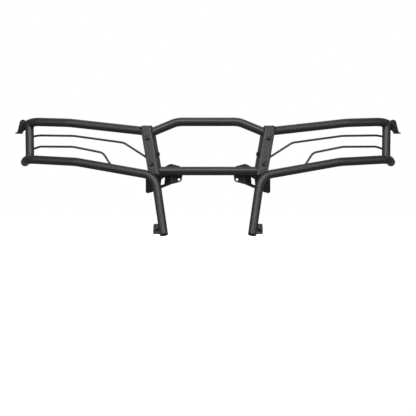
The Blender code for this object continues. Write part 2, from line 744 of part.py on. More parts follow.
def make_wing_plate(side_name, side, parent, bottom_room):
    """The flat plate that bolts behind the centre section's flange, with two slots along its length."""
    across, along, through = plate_axes()
    base = plate_frame(side, PLATE_T + GAP)
    origin = base.local(WING_PLATE_OUT, 0, 0)
    frame = Frame(side, origin, -across, along, through)
    width = WING_PLATE_OUT + WING_PLATE_IN
    outline = [
        (0.0, 141.0), (0.0, -38.0), (WING_PLATE_OUT - 6.6, -57.0), (width, -35.0), (width, 124.0),
        (width - 13.0, 141.0),
    ]
    holes = []
    for height in (0.0, SLOT_PITCH):
        holes.append(slot((WING_PLATE_OUT, height), SLOT_L, SLOT_W, math.pi / 2))
    plate = sheet(f"{side_name}_wing_plate", outline, holes, flat(), frame, "powder_coat", parent)
    cut(plate, bottom_room)


def make_rods(side_name, side, parent, bottom_room, upright_room):
    """The two thin bent rods that fill the wing's frame."""
    foot, head = Vector(UPRIGHT_FOOT), Vector(UPRIGHT_HEAD)
    middle = PLATE_T + GAP + PLATE_T / 2
    across, _, through = plate_axes()
    base = Vector((0, SLOT_BACK + middle / through.y, 0))
    frame = plate_frame(side, middle)
    plate_edge = (frame.at(WING_PLATE_OUT + GAP), frame.turned(across))

    for level, rod, end_plane in (("upper", UPPER_ROD, plate_edge), ("lower", LOWER_ROD, None)):
        height, bends, radii, end = rod
        start = foot.lerp(head, (height - foot.z) / (head.z - foot.z))
        corners = [start] + [Vector(bend) + base for bend in bends] + [in_plate_plane(*end, middle)]
        path = world_path(side, corners, radii)
        bm = sweep(path, ROD_R * MM, ROD_SIDES, Vector((0, 0, 1)), end_plane=end_plane)
        obj = add_object(f"{side_name}_{level}_rod", bm, "powder_coat", parent, path[0])
        cut(obj, upright_room)
        if level == "lower":
            cut(obj, bottom_room)


def make_hook(side_name, side, parent, meshes):
    """The plate across the top tube's rear end, folded at the bottom into a lip, and its two screws."""
    (top_corners, _), _ = wing_paths()
    end_yaw = TOP_TURN[3]
    back = Vector((math.cos(end_yaw), math.sin(end_yaw), 0))
    outboard = Vector((math.sin(end_yaw), -math.cos(end_yaw), 0))
    shift = back * GAP + outboard * HOOK_SHIFT_OUT + Vector((0, 0, HOOK_SHIFT_UP))
    frame = Frame(side, top_corners[-1] + shift, (0, 0, -1), outboard, back)
    half = PLATE_T / 2
    start = 20.0
    corners = [(-start, half), (HOOK_LIP_DOWN, half), (HOOK_LIP_DOWN, half + HOOK_LIP)]
    fold = Fold(corners, BEND_R - 1.0, steps=3)
    edge = fold.points[-1][0]
    bend = start + HOOK_LIP_DOWN - BEND_R
    quarter = math.pi / 2
    arch = arc_points((start, 0.0), HOOK_ARCH_R, quarter, 2.5 * quarter, 7)
    pad = arc_points((start + HOOK_SHIFT_UP, -HOOK_SHIFT_OUT), HOOK_PAD_R, 1.8 * quarter, 4 * quarter, 9)
    outline = arch + pad + [(start + 27.0, -5.0), (bend, 0.0), (edge, 2.0)]
    outline += [(edge, 24.0), (edge - 3.0, 27.0), (bend + 5.0, 27.0), (bend, 22.5)]
    holes = [round_hole((start + s, a), SCREW_R + 0.5, 10) for s, a in HOOK_SCREWS]
    sheet(f"{side_name}_fender_hook", outline, holes, fold, frame, "powder_coat", parent)
    for count, (s, a) in enumerate(HOOK_SCREWS, start=1):
        place = frame.at(s, a, -GAP)
        name = f"{side_name}_hook_screw_{count}"
        put(name, meshes["screw"], "black_hardware", place, -frame.turned(back), parent)


def make_foot(side_name, side, parent, meshes):
    """The slotted tab behind the leg's lower end, with its long bolt, spacer and flange nut."""
    _, _, through = plate_axes()
    level = Vector((math.cos(PLATE_YAW), math.sin(PLATE_YAW), 0))
    outboard = (level - level.dot(through) * through).normalized()
    origin = in_plate_plane(*FOOT_SLOT, PLATE_T + GAP + PLATE_T / 2) + (TUBE_R + GAP) * through
    frame = Frame(side, origin - outboard * FOOT_SLOT_IN, outboard, outboard.cross(through), through)
    half, corner = FOOT_HALF_H, FOOT_CORNER
    outline = [(8.0, half), (4.0, -half)]
    outline += arc_points((FOOT_W - corner, corner - half), corner, -math.pi / 2, 0, 3)
    outline += arc_points((FOOT_W - corner, half - corner), corner, 0, math.pi / 2, 3)
    hole = slot((FOOT_SLOT_IN, 0.0), FOOT_SLOT_L, SLOT_W, math.pi / 2)
    sheet(f"{side_name}_foot_tab", outline, [hole], flat(), frame, "powder_coat", parent)
    backward = frame.turned(through)
    place = frame.at(FOOT_SLOT_IN, 0, -GAP)
    put(f"{side_name}_foot_bolt", meshes["foot_bolt"], "black_hardware", place, -backward, parent)
    place = frame.at(FOOT_SLOT_IN, 0, PLATE_T + GAP)
    put(f"{side_name}_foot_spacer", meshes["foot_spacer"], "zinc", place, backward, parent)
    place = frame.at(FOOT_SLOT_IN, 0, PLATE_T + GAP + SPACER_L + VEHICLE_T)
    put(f"{side_name}_foot_nut", meshes["flange_nut"], "black_hardware", place, backward, parent)


def fit_caps(side_name, side, parent, meshes):
    """Plugs in the bottom tube's rear end and in the leg's lower end."""
    _, (corners, _) = wing_paths()
    for name, end, before in (("rear_cap", corners[-1], corners[-2]), ("leg_cap", corners[0], corners[1])):
        axis = Frame(side, (0, 0, 0), (1, 0, 0), (0, 0, 1), (0, 1, 0)).turned(end - before)
        put(f"{side_name}_{name}", meshes["cap"], "black_plastic", world(side, end), axis, parent)


def make_wing(side_name, side, meshes):
    parent = add_empty(f"{side_name}_wing", plate_frame(side).at(0, 0, 0))
    bottom_room, upright_room = make_wing_tubes(side_name, side, parent)
    make_wing_plate(side_name, side, parent, bottom_room)
    make_rods(side_name, side, parent, bottom_room, upright_room)
    make_hook(side_name, side, parent, meshes)
    make_foot(side_name, side, parent, meshes)
    fit_caps(side_name, side, parent, meshes)


def main():
    clear_scene()
    meshes = fastener_meshes()
    centre = add_empty("centre_section", world(1, (0, 0, 0)))
    make_centre_tubes(centre)
    for side_name, side in SIDES.items():
        make_side_plate(side_name, side, centre)
        make_lower_tab(side_name, side, centre)
        make_bracket(side_name, side, centre)
        fit_centre_fasteners(side_name, side, centre, meshes)
        fit_clamp(side_name, side, meshes)
        make_wing(side_name, side, meshes)


main()
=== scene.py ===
"""The finished look of the front grille guard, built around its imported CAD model.

Every CAD node is replaced by a finer piece of the same size in the same place: round tubes and rods with weld
beads where they meet, plates with rounded edges, and fasteners with real threads, washers and chamfers.

Lengths are in millimetres and MM turns them into metres. A place is written as (out, back, up): out is the
distance from the centre plane, so one set of numbers serves both sides, and back and up are measured from the
axis of the centre section's bottom tube. World X is to the right, Y is to the rear and Z is up.
"""

import math

import bmesh
import bpy
from mathutils import Matrix, Vector

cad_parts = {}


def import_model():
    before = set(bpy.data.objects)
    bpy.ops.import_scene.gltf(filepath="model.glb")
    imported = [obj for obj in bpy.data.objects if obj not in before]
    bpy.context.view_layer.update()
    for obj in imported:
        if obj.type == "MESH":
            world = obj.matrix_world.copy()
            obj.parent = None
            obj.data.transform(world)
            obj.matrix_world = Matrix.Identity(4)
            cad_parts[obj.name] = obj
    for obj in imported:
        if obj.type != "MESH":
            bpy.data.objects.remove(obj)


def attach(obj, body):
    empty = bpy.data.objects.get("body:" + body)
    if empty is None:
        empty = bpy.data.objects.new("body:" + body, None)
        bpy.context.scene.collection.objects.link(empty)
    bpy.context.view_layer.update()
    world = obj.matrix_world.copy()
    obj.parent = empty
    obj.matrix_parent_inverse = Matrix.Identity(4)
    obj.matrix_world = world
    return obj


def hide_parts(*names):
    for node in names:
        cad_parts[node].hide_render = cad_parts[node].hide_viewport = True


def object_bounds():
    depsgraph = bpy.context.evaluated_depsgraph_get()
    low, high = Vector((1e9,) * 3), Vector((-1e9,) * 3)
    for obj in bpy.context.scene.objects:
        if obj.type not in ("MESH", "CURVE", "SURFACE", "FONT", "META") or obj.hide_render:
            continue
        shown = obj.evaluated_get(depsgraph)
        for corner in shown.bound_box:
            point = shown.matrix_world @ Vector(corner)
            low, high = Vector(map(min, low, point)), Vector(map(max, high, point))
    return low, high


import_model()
cad_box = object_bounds()

MM = 0.001
SIDES = {"left": -1, "right": 1}
UP = Vector((0, 0, 1))
FORWARD = Vector((0, -1, 0))

# Stock
TUBE_R = 15.9
TUBE_WALL = 2.0
ROD_R = 4.0
PLATE_T = 4.0
GAP = 0.3
BEND_R = 6.0

# Fineness of the meshes
TUBE_SIDES = 48
ROD_SIDES = 20
BEAD_SIDES = 10
ROD_BEAD_STEPS = 24
TURNED_SIDES = 48
THREAD_STEPS = 6
ARC_STEP = math.radians(3.5)
FOLD_STEPS = 10
HOLE_STEPS = 32
PLATE_EDGE = 0.7
CRISP_TUBE, CRISP_TURNED, CRISP_RING = 35, 32, 30

# How the side plates stand
TILT = math.radians(10)
LEAN = math.radians(15)
PLATE_YAW = math.radians(14)
WING_YAW = math.radians(26)

# Clamp slots
SLOT_OUT, SLOT_BACK, SLOT_UP = 207.5, -5.4, 27.2
SLOT_PITCH = 100.0
SLOT_W = 9.0
SLOT_L = 15.5
CENTRE_SLOT_RISE = math.radians(25)

# Centre section
TOP_UP, TOP_BACK, TOP_BEND_OUT = 182.0, 48.5, 113.5
TOP_SLOPE = math.radians(22.6)
TOP_REACH, BOTTOM_REACH = 205.0, 178.0
CENTRE_BEND_R = 90.0
FLANGE_OUT, FLANGE_IN = 13.5, 20.5
WEB_DEPTH = 55.0
WEB_HOLE_UP, WEB_HOLE_BACK = 36.5, 22.0
TAB_OUT, TAB_W, TAB_BOTTOM, TAB_TOP, TAB_HOLE_UP = 104.0, 20.0, -24.4, 8.0, -14.0

# Wing
WING_PLATE_OUT, WING_PLATE_IN = 19.5, 11.4
COPE_REACH = 6.5
LEG_END = (161.5, -232.0)
LEG_CORNER = (193.5, -18.0)
LEG_BEND_R = 65.0
BOTTOM_BEND = (488.5, 34.7)
TOP_BEND = (514.5, 180.0)
WING_TOP_START = (223.0, 146.0)
WING_BEND_R = 120.0
UPRIGHT_FOOT = (663.0, 163.0, 44.0)
UPRIGHT_HEAD = (667.0, 202.0, 180.0)

# Rods: the height on the upright, the corners (out, back from the wing's inner end, up), their radii, and
# the inner end (out, up)
UPPER_BENDS = [(626.5, 159.0, 134.4), (498.5, 95.9, 131.4), (311.0, 43.2, 105.0)]
LOWER_BENDS = [(624.0, 148.5, 92.7), (499.5, 87.0, 90.7), (387.5, 54.0, 68.0)]
UPPER_ROD = (129.0, UPPER_BENDS, [45.0, 60.0, 50.0], (230.0, 53.0))
LOWER_ROD = (80.0, LOWER_BENDS, [45.0, 60.0, 35.0], (352.0, 12.0))

# Where each wing tube starts to turn back (out, up), its radius, end yaw, tail length and end height
TOP_TURN = (627.5, 184.7, 100.0, math.radians(65), 12.0, 173.0)
BOTTOM_TURN = (640.5, 43.7, 72.0, math.radians(82), 40.0, 36.0)

# Foot tab
FOOT_SLOT = (195.0, -208.7)
FOOT_W, FOOT_HALF_H, FOOT_CORNER = 50.0, 19.5, 5.0
FOOT_SLOT_IN, FOOT_SLOT_L = 40.0, 20.0

# Fender hook
HOOK_SHIFT_OUT, HOOK_SHIFT_UP = 13.0, 8.0
HOOK_ARCH_R, HOOK_PAD_R = 14.0, 17.0
HOOK_LIP_DOWN, HOOK_LIP = 37.0, 16.0
HOOK_SCREWS = [(24.0, 2.0), (25.5, 14.5)]

# Bracket, seen from the front: (out, up) from its upper narrow hole
BRACKET_ANGLE = math.radians(40)
BRACKET_TURN = math.radians(7.3)
BRACKET_BENDS = (28.0, 97.0)
BRACKET_OUTLINE = [
    (-12.4, 22.4), (-7.4, -21.1), (-0.7, -26.1), (31.2, -34.5), (103.2, -63.0), (119.9, -68.0),
    (126.6, -63.0), (126.6, -6.0), (91.4, 7.4), (47.9, 34.2), (32.8, 40.9), (24.5, 39.2), (-0.7, 32.5),
]
BRACKET_WINDOW = [(54.0, -7.0), (56.0, -33.0), (71.0, -39.0), (69.0, -16.5)]
NARROW_HOLES = [(0.0, 0.0), (2.7, -17.1)]
WIDE_HOLES = [(113.2, -16.1), (117.6, -57.3)]

# Fasteners
HOLE_R = 4.5
BOLT_R = 4.0
PITCH, THREAD_DEPTH = 1.25, 0.7
HEX_FLAT, HEAD_H, NUT_H = 13.0, 5.3, 6.5
WASHER_R, WASHER_T = 10.0, 1.6
SMALL_WASHER_R = 8.0
SPRING_R, SPRING_T = 7.4, 1.7
FLANGE_NUT_R = 8.9
HEAD_CROWN, NUT_CROWN = HEX_FLAT / 2 * 0.93, HEX_FLAT / 2 * 0.94
VEHICLE_T = 5.0
SPACER_R, SPACER_L = 8.0, 14.0
SLEEVE_R, SLEEVE_L = 6.0, 35.0
SCREW_R, SCREW_HEAD_R, SCREW_L = 2.5, 4.6, 16.0

# Welds
# How far a bead's ring is looked for along a rod, and along an upright from its middle, and how far outside
# each tube the search along a rod starts
ROD_REACH, UPRIGHT_REACH = 60, 90
UPRIGHT_CLEAR, BOTTOM_CLEAR = 22.0, 40.0
RIPPLE = 2.7
RIPPLE_SHAPE = (1.0, 0.93, 0.8)
TUBE_WELD, ROD_WELD, THIN_WELD = 2.8, 1.5, 1.7
PLATE_WELD, TAB_WELD, FOOT_WELD = 2.2, 2.0, 2.3

# The origin, in (back, up)
BRACKET_FRONT = TUBE_R + GAP + PLATE_T + GAP
BRACKET_DEPTH = (BRACKET_BENDS[1] - BRACKET_BENDS[0]) * math.tan(BRACKET_ANGLE)
ORIGIN_BACK = BRACKET_FRONT + PLATE_T + BRACKET_DEPTH
ORIGIN_UP = TAB_HOLE_UP + (WIDE_HOLES[0][1] + WIDE_HOLES[1][1]) / 2

WING_MIDDLE = PLATE_T + GAP + PLATE_T / 2


# Materials


def node(tree, kind, **values):
    """A shader node with its inputs set by name or number."""
    made = tree.nodes.new(kind)
    for key, value in values.items():
        made.inputs[key.replace("_", " ")].default_value = value
    return made


def noise(tree, scale, detail=3.0):
    """Noise in the piece's own coordinates, in features per metre."""
    place = tree.nodes.get("Place") or tree.nodes.new("ShaderNodeTexCoord")
    place.name = "Place"
    made = node(tree, "ShaderNodeTexNoise", Scale=scale, Detail=detail, Roughness=0.55)
    tree.links.new(place.outputs["Object"], made.inputs["Vector"])
    return made.outputs["Fac"]


def ranged(tree, source, low, high):
    """The middle of a noise spread over low to high."""
    made = node(tree, "ShaderNodeMapRange")
    for name, value in (("From Min", 0.3), ("From Max", 0.7), ("To Min", low), ("To Max", high)):
        made.inputs[name].default_value = value
    tree.links.new(source, made.inputs["Value"])
    return made.outputs["Result"]


def coat(name, dark, light, roughness, metallic, specular, grains, blotch):
    """A coating whose colour and roughness drift, with one bump for each (scale, depth) grain."""
    made = bpy.data.materials.new(name)
    made.use_nodes = True
    tree = made.node_tree
    shader = tree.nodes["Principled BSDF"]
    shader.inputs["Metallic"].default_value = metallic
    shader.inputs["Specular IOR Level"].default_value = specular
    ramp = tree.nodes.new("ShaderNodeValToRGB")
    ramp.color_ramp.elements[0].position = 0.32
    ramp.color_ramp.elements[0].color = (*dark, 1)
    ramp.color_ramp.elements[1].position = 0.68
    ramp.color_ramp.elements[1].color = (*light, 1)
    tree.links.new(noise(tree, blotch), ramp.inputs["Fac"])
    tree.links.new(ramp.outputs["Color"], shader.inputs["Base Color"])
    tree.links.new(ranged(tree, noise(tree, blotch * 2.3), *roughness), shader.inputs["Roughness"])
    normal = None
    for scale, depth in grains:
        bump = node(tree, "ShaderNodeBump", Strength=1.0, Distance=depth * MM)
        tree.links.new(noise(tree, scale, 2.0), bump.inputs["Height"])
        if normal is not None:
            tree.links.new(normal, bump.inputs["Normal"])
        normal = bump.outputs["Normal"]
    tree.links.new(normal, shader.inputs["Normal"])
    return made


MATERIALS = {
    "powder_coat": coat(
        "powder_coat_fine", (0.016, 0.016, 0.017), (0.025, 0.025, 0.026), (0.36, 0.44), 0.0, 0.5,
        [(420.0, 0.14), (1500.0, 0.12)], 240.0,
    ),
    "weld": coat(
        "powder_coat_weld", (0.014, 0.014, 0.015), (0.024, 0.024, 0.025), (0.38, 0.48), 0.0, 0.5,
        [(600.0, 0.14), (1600.0, 0.08)], 260.0,
    ),
    "bracket_coat": coat(
        "bracket_coat_fine", (0.012, 0.013, 0.016), (0.020, 0.022, 0.026), (0.40, 0.50), 0.0, 0.45,
        [(420.0, 0.12), (1500.0, 0.10)], 200.0,
    ),
    "black_hardware": coat(
        "black_zinc", (0.018, 0.018, 0.020), (0.040, 0.040, 0.043), (0.30, 0.46), 0.55, 0.5,
        [(700.0, 0.02), (2600.0, 0.01)], 320.0,
    ),
    "zinc": coat(
        "bright_zinc", (0.46, 0.47, 0.48), (0.64, 0.64, 0.63), (0.24, 0.42), 1.0, 0.5,
        [(800.0, 0.02), (3000.0, 0.008)], 260.0,
    ),
    "black_plastic": coat(
        "moulded_plastic", (0.012, 0.012, 0.012), (0.022, 0.022, 0.022), (0.52, 0.68), 0.0, 0.4,
        [(900.0, 0.06), (2400.0, 0.03)], 200.0,
    ),
}


# Places and directions


class Frame:
    """Local axes on one side of the guard. across, along and back are directions for the right-hand side."""

    def __init__(self, side, origin, across, along, back):
        self.side = side
        self.origin = Vector(origin)
        self.axes = [Vector(axis).normalized() for axis in (across, along, back)]

    def local(self, across, along, back):
        return self.origin + across * self.axes[0] + along * self.axes[1] + back * self.axes[2]

    def at(self, across, along=0.0, back=0.0):
        """The world place of a local point, in metres."""
        return world(self.side, self.local(across, along, back))

    def turned(self, direction):
        return turned(self.side, direction)


def world(side, place):
    """A place (out, back, up) in millimetres as a world point in metres."""
    out, back, up = place
    return Vector((side * out, back - ORIGIN_BACK, up - ORIGIN_UP)) * MM


def turned(side, direction):
    """An (out, back, up) direction in world axes."""
    return Vector((side * direction[0], direction[1], direction[2])).normalized()


def plate_axes():
    """Directions of the side plates: across (outboard), along (up the slot line), through (to the rear)."""
    along = Vector((math.tan(TILT), math.tan(LEAN), 1)).normalized()
    level = Vector((math.cos(PLATE_YAW), math.sin(PLATE_YAW), 0))
    across = (level - level.dot(along) * along).normalized()
    return across, along, along.cross(across)


ACROSS, ALONG, THROUGH = plate_axes()


def lower_slot(back=0.0):
    """The middle of the lower slot, the given distance behind the flange's front face."""
    return Vector((SLOT_OUT, SLOT_BACK, SLOT_UP)) + back * THROUGH


def plate_frame(side, back=0.0):
    """The clamp's frame, with its origin at the lower slot."""
    return Frame(side, lower_slot(back), ACROSS, ALONG, THROUGH)


def in_plate_plane(out, up, back):
    """The place at (out, up) in the plane that lies the given distance behind the flange's front face."""
    origin = lower_slot(back)
    run = THROUGH.x * (out - origin.x) + THROUGH.z * (up - origin.z)
    return Vector((out, origin.y - run / THROUGH.y, up))


# Pieces


def add_piece(name, mesh, material, body, nodes=()):
    """A piece that rides on a body and stands for CAD nodes, in its material's slot unless one is given."""
    obj = bpy.data.objects.new(name, mesh)
    bpy.context.scene.collection.objects.link(obj)
    if not mesh.materials:
        mesh.materials.append(MATERIALS[material])
    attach(obj, body)
    if nodes:
        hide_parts(*nodes)
    return obj


def finish_mesh(name, bm, sharp=None):
    """A smooth-shaded mesh from bm, with edges over the sharp angle kept crisp."""
    bmesh.ops.recalc_face_normals(bm, faces=bm.faces)
    mesh = bpy.data.meshes.new(name)
    bm.to_mesh(mesh)
    bm.free()
    mesh.shade_smooth()
    if sharp is not None:
        mesh.set_sharp_from_angle(angle=math.radians(sharp))
    return mesh


def even_normals(obj):
    """Lets large flat faces set the shading beside their rounded edges."""
    modifier = obj.modifiers.new("even_normals", "WEIGHTED_NORMAL")
    modifier.weight = 100
    modifier.keep_sharp = True


def carved(mesh, cutters):
    """The mesh with the shapes of other meshes taken out of it."""
    scene = bpy.context.scene
    helpers = [bpy.data.objects.new("carving", part) for part in [mesh, *cutters]]
    for helper in helpers:
        scene.collection.objects.link(helper)
    for helper in helpers[1:]:
        modifier = helpers[0].modifiers.new("carve", "BOOLEAN")
        modifier.operation = "DIFFERENCE"
        modifier.solver = "EXACT"
        modifier.object = helper
    graph = bpy.context.evaluated_depsgraph_get()
    result = bpy.data.meshes.new_from_object(helpers[0].evaluated_get(graph))
    for helper in helpers:
        bpy.data.objects.remove(helper)
    result.shade_smooth()
    result.set_sharp_from_angle(angle=math.radians(CRISP_TUBE))
    return result


# Tubes and rods


def corner_arc(before, corner, after, radius):
    """The centre of the arc that rounds a corner, and from there to where it starts and ends."""
    towards = (before - corner).normalized()
    away = (after - corner).normalized()
    half = towards.angle(away) / 2
    centre = corner + (towards + away).normalized() * radius / math.sin(half)
    reach = radius / math.tan(half)
    return centre, corner + towards * reach - centre, corner + away * reach - centre


def rounded_path(corners, radii):
    """Straight runs through the corners, with an arc of the given radius at each inner corner."""
    path = [corners[0]]
    for before, corner, after, radius in zip(corners, corners[1:], corners[2:], radii):
        centre, first, last = corner_arc(before, corner, after, radius)
        turn = first.angle(last)
        steps = max(2, math.ceil(turn / ARC_STEP))
        axis = first.cross(last)
        for step in range(steps + 1):
            path.append(centre + Matrix.Rotation(turn * step / steps, 3, axis) @ first)
    path.append(corners[-1])
    return path


def world_path(side, corners, radii):
    return [world(side, place) for place in rounded_path([Vector(c) for c in corners], radii)]


def path_rings(path, radii, sides, start_normal):
    """Rings of points round a path, carried along it without twist. radii has one number for each point."""
    normal = start_normal
    rings = []
    for index, (point, radius) in enumerate(zip(path, radii)):
        before = (point - path[max(index - 1, 0)]).normalized()
        after = (path[min(index + 1, len(path) - 1)] - point).normalized()
        direction = (before + after).normalized()
        normal = (normal - normal.dot(direction) * direction).normalized()
        binormal = direction.cross(normal)
        turns = [2 * math.pi * k / sides for k in range(sides)]
        rings.append([point + radius * (math.cos(t) * normal + math.sin(t) * binormal) for t in turns])
    return rings


def onto_plane(ring, direction, plane):
    """Slides a ring's points along the tube until they lie on a plane (point, normal)."""
    point, normal = plane
    return [p + direction * ((point - p).dot(normal) / direction.dot(normal)) for p in ring]


def bridge(bm, rings):
    """Joins neighbouring rings of vertices with quads."""
    for low, high in zip(rings, rings[1:]):
        for k in range(len(low)):
            n = (k + 1) % len(low)
            bm.faces.new((low[k], low[n], high[n], high[k]))


def skin(bm, loops, closed):
    """A surface through rings of points: a closed loop of them, or an open row with a cap at each end."""
    rings = [[bm.verts.new(p) for p in loop] for loop in loops]
    bridge(bm, rings + rings[:1] if closed else rings)
    if not closed:
        bm.faces.new(rings[0][::-1])
        bm.faces.new(rings[-1])


def sweep(name, path, radius, sides, start_normal, wall=0.0, start_plane=None, end_plane=None):
    """A round bar along a path or, with a wall, a pipe that is open at both ends. Sizes in millimetres."""
    bm = bmesh.new()
    skins = []
    for r in [radius] + ([radius - wall] if wall else []):
        rings = path_rings(path, [r * MM] * len(path), sides, start_normal)
        if start_plane:
            rings[0] = onto_plane(rings[0], (path[1] - path[0]).normalized(), start_plane)
        if end_plane:
            rings[-1] = onto_plane(rings[-1], (path[-1] - path[-2]).normalized(), end_plane)
        skins.append(rings)
    loops = skins[0] + (skins[1][::-1] if wall else [])
    skin(bm, loops, closed=bool(wall))
    return finish_mesh(name, bm, CRISP_TUBE)


def room_for(path, start_normal):
    """A solid round a tube with a little room, for cutting what meets it."""
    return sweep("room", path, TUBE_R + GAP, TUBE_SIDES, start_normal)


def add_drawn(node, mesh, body):
    add_piece(f"{node}_drawn", mesh, "powder_coat", body, [node])


# Welds


def resample(points, step, closed):
    """Points at even steps along a line."""
    line = points + points[:1] if closed else points
    lengths = [0.0]
    for first, second in zip(line, line[1:]):
        lengths.append(lengths[-1] + (second - first).length)
    count = max(3, round(lengths[-1] / step))
    if closed:
        count = 3 * max(1, round(count / 3))
    made, index = [], 0
    for k in range(count if closed else count + 1):
        target = lengths[-1] * k / count
        while index < len(line) - 2 and lengths[index + 1] < target:
            index += 1
        share = (target - lengths[index]) / max(lengths[index + 1] - lengths[index], 1e-12)
        made.append(line[index].lerp(line[index + 1], share))
    return made


def add_bead(bm, points, size, closed=True):
    """A weld bead along a line of world points: overlapping ripples, tapered at open ends."""
    line = resample(points, RIPPLE / len(RIPPLE_SHAPE) * MM, closed)
    radii = [size * MM * RIPPLE_SHAPE[k % len(RIPPLE_SHAPE)] for k in range(len(line))]
    if not closed:
        for k, share in enumerate((0.35, 0.75)):
            radii[k] *= share
            radii[-1 - k] *= share
    direction = (line[1] - line[0]).normalized()
    normal = direction.orthogonal().normalized()
    rings = path_rings(line, radii, BEAD_SIDES, normal)
    if closed:
        first, last = rings[0], rings[-1]
        offset = min(range(BEAD_SIDES), key=lambda k: (last[0] - first[k]).length)
        verts = [[bm.verts.new(p) for p in ring] for ring in rings]
        verts.append(verts[0][offset:] + verts[0][:offset])
        bridge(bm, verts)
    else:
        skin(bm, rings, closed=False)


def distance_to(path, point):
    """The distance from a point to a path's line."""
    best = 1e9
    for first, second in zip(path, path[1:]):
        run = second - first
        share = min(max((point - first).dot(run) / run.length_squared, 0.0), 1.0)
        best = min(best, (point - first - run * share).length)
    return best


def ring_on_tube(start, towards, radius, sides, target, reach=ROD_REACH):
    """Where a bar of the given radius, going from start in a direction, meets the surface of a tube."""
    normal = towards.orthogonal().normalized()
    binormal = towards.cross(normal)
    near = min(range(len(target)), key=lambda k: (target[k] - start).length)
    local = target[max(near - 8, 0): near + 9]
    loop = []
    for k in range(sides):
        turn = 2 * math.pi * k / sides
        foot = start + radius * MM * (math.cos(turn) * normal + math.sin(turn) * binormal)
        best, found = 1e9, 0.0
        for step in range(reach):
            gap = distance_to(local, foot + towards * step * MM)
            if gap < best:
                best, found = gap, float(step)
            if gap <= TUBE_R * MM:
                break
        low, high = found - 1.0, found
        if best <= TUBE_R * MM:
            for _ in range(12):
                middle = (low + high) / 2
                inside = distance_to(local, foot + towards * middle * MM) <= TUBE_R * MM
                low, high = (low, middle) if inside else (middle, high)
        loop.append(foot + towards * high * MM)
    return loop


# Sheet


class Fold:
    """The middle line of a folded sheet in its (across, back) plane: straight runs joined by arcs."""

    def __init__(self, corners, radius):
        points = [Vector(c) for c in corners]
        line = [points[0]]
        for before, corner, after in zip(points, points[1:], points[2:]):
            centre, first, last = corner_arc(before, corner, after, radius)
            turn = first.angle_signed(last)
            for step in range(FOLD_STEPS + 1):
                line.append(centre + Matrix.Rotation(-turn * step / FOLD_STEPS, 2) @ first)
        line.append(points[-1])
        self.points = [(0.0, line[0])]
        for before, point in zip(line, line[1:]):
            self.points.append((self.points[-1][0] + (point - before).length, point))
        self.stations = [length for length, _ in self.points[1:-1]]

    def offset(self, length, thickness):
        """The point on the sheet's face, thickness away from its middle line."""
        for index, station in enumerate(self.stations, start=1):
            if abs(station - length) < 0.002:
                point = self.points[index][1]
                before = (point - self.points[index - 1][1]).normalized()
                after = (self.points[index + 1][1] - point).normalized()
                mean = (before + after).normalized()
                return point + Vector((-mean.y, mean.x)) / mean.dot(before) * thickness
        for (l0, p0), (l1, p1) in zip(self.points, self.points[1:]):
            if length <= l1 or l1 == self.points[-1][0]:
                along = (p1 - p0) / (l1 - l0)
                return p0 + along * (length - l0) + Vector((-along.y, along.x)) * thickness
        raise ValueError("the sheet is longer than its fold")

    def reach(self, across):
        """The length along the sheet at which it has gone that far across."""
        for (l0, p0), (l1, p1) in zip(self.points, self.points[1:]):
            if across <= p1.x or l1 == self.points[-1][0]:
                return l0 + (l1 - l0) * (across - p0.x) / (p1.x - p0.x)
        raise ValueError("the sheet doesn't reach that far")


def flat():
    """No fold: lengths along the sheet are measured from the frame's origin."""
    far = 1000.0
    return Fold([(0.0, PLATE_T / 2), (far, PLATE_T / 2)], BEND_R)


def arc_points(centre, radius, start, end, steps):
    angles = [start + (end - start) * k / steps for k in range(steps + 1)]
    return [(centre[0] + radius * math.cos(a), centre[1] + radius * math.sin(a)) for a in angles]


def round_hole(centre, radius=HOLE_R):
    return arc_points(centre, radius, 0, 2 * math.pi * (1 - 1 / HOLE_STEPS), HOLE_STEPS - 1)


def slot(centre, length, width, angle):
    """A long hole with round ends, its length lying at an angle to the first axis."""
    half = (length - width) / 2
    axis = Vector((math.cos(angle), math.sin(angle)))
    middle = Vector(centre)
    quarter = math.pi / 2
    far = arc_points(middle + half * axis, width / 2, angle - quarter, angle + quarter, 14)
    near = arc_points(middle - half * axis, width / 2, angle + quarter, angle + 3 * quarter, 14)
    return far + near


def softened(outline, radius):
    """The outline with an arc in place of each sharp corner."""
    made = []
    count = len(outline)
    for index in range(count):
        before, corner, after = (Vector(outline[(index + k) % count]) for k in (-1, 0, 1))
        towards, away = before - corner, after - corner
        turn = math.pi - towards.angle(away)
        if turn < math.radians(18):
            made.append(tuple(corner))
            continue
        reach = min(radius * math.tan(turn / 2), 0.45 * min(towards.length, away.length))
        first = corner + towards.normalized() * reach
        last = corner + away.normalized() * reach
        steps = max(2, round(math.degrees(turn) / 12))
        for step in range(steps + 1):
            t = step / steps
            made.append(tuple(first.lerp(corner, t).lerp(corner.lerp(last, t), t)))
    return made


def inset(loop, amount):
    """The loop moved to its left by an amount, with mitred corners."""
    made = []
    count = len(loop)
    for index in range(count):
        before, point, after = (Vector(loop[(index + k) % count]) for k in (-1, 0, 1))
        first = (point - before).normalized()
        second = (after - point).normalized()
        normals = Vector((-first.y, first.x)), Vector((-second.y, second.x))
        mitre = (normals[0] + normals[1]) / (1 + normals[0].dot(normals[1]))
        made.append(point + mitre * amount)
    return made


def wound(loop, anticlockwise):
    """The loop in the wanted direction."""
    area = sum(a[0] * b[1] - b[0] * a[1] for a, b in zip(loop, loop[1:] + loop[:1]))
    return loop if (area > 0) == anticlockwise else loop[::-1]


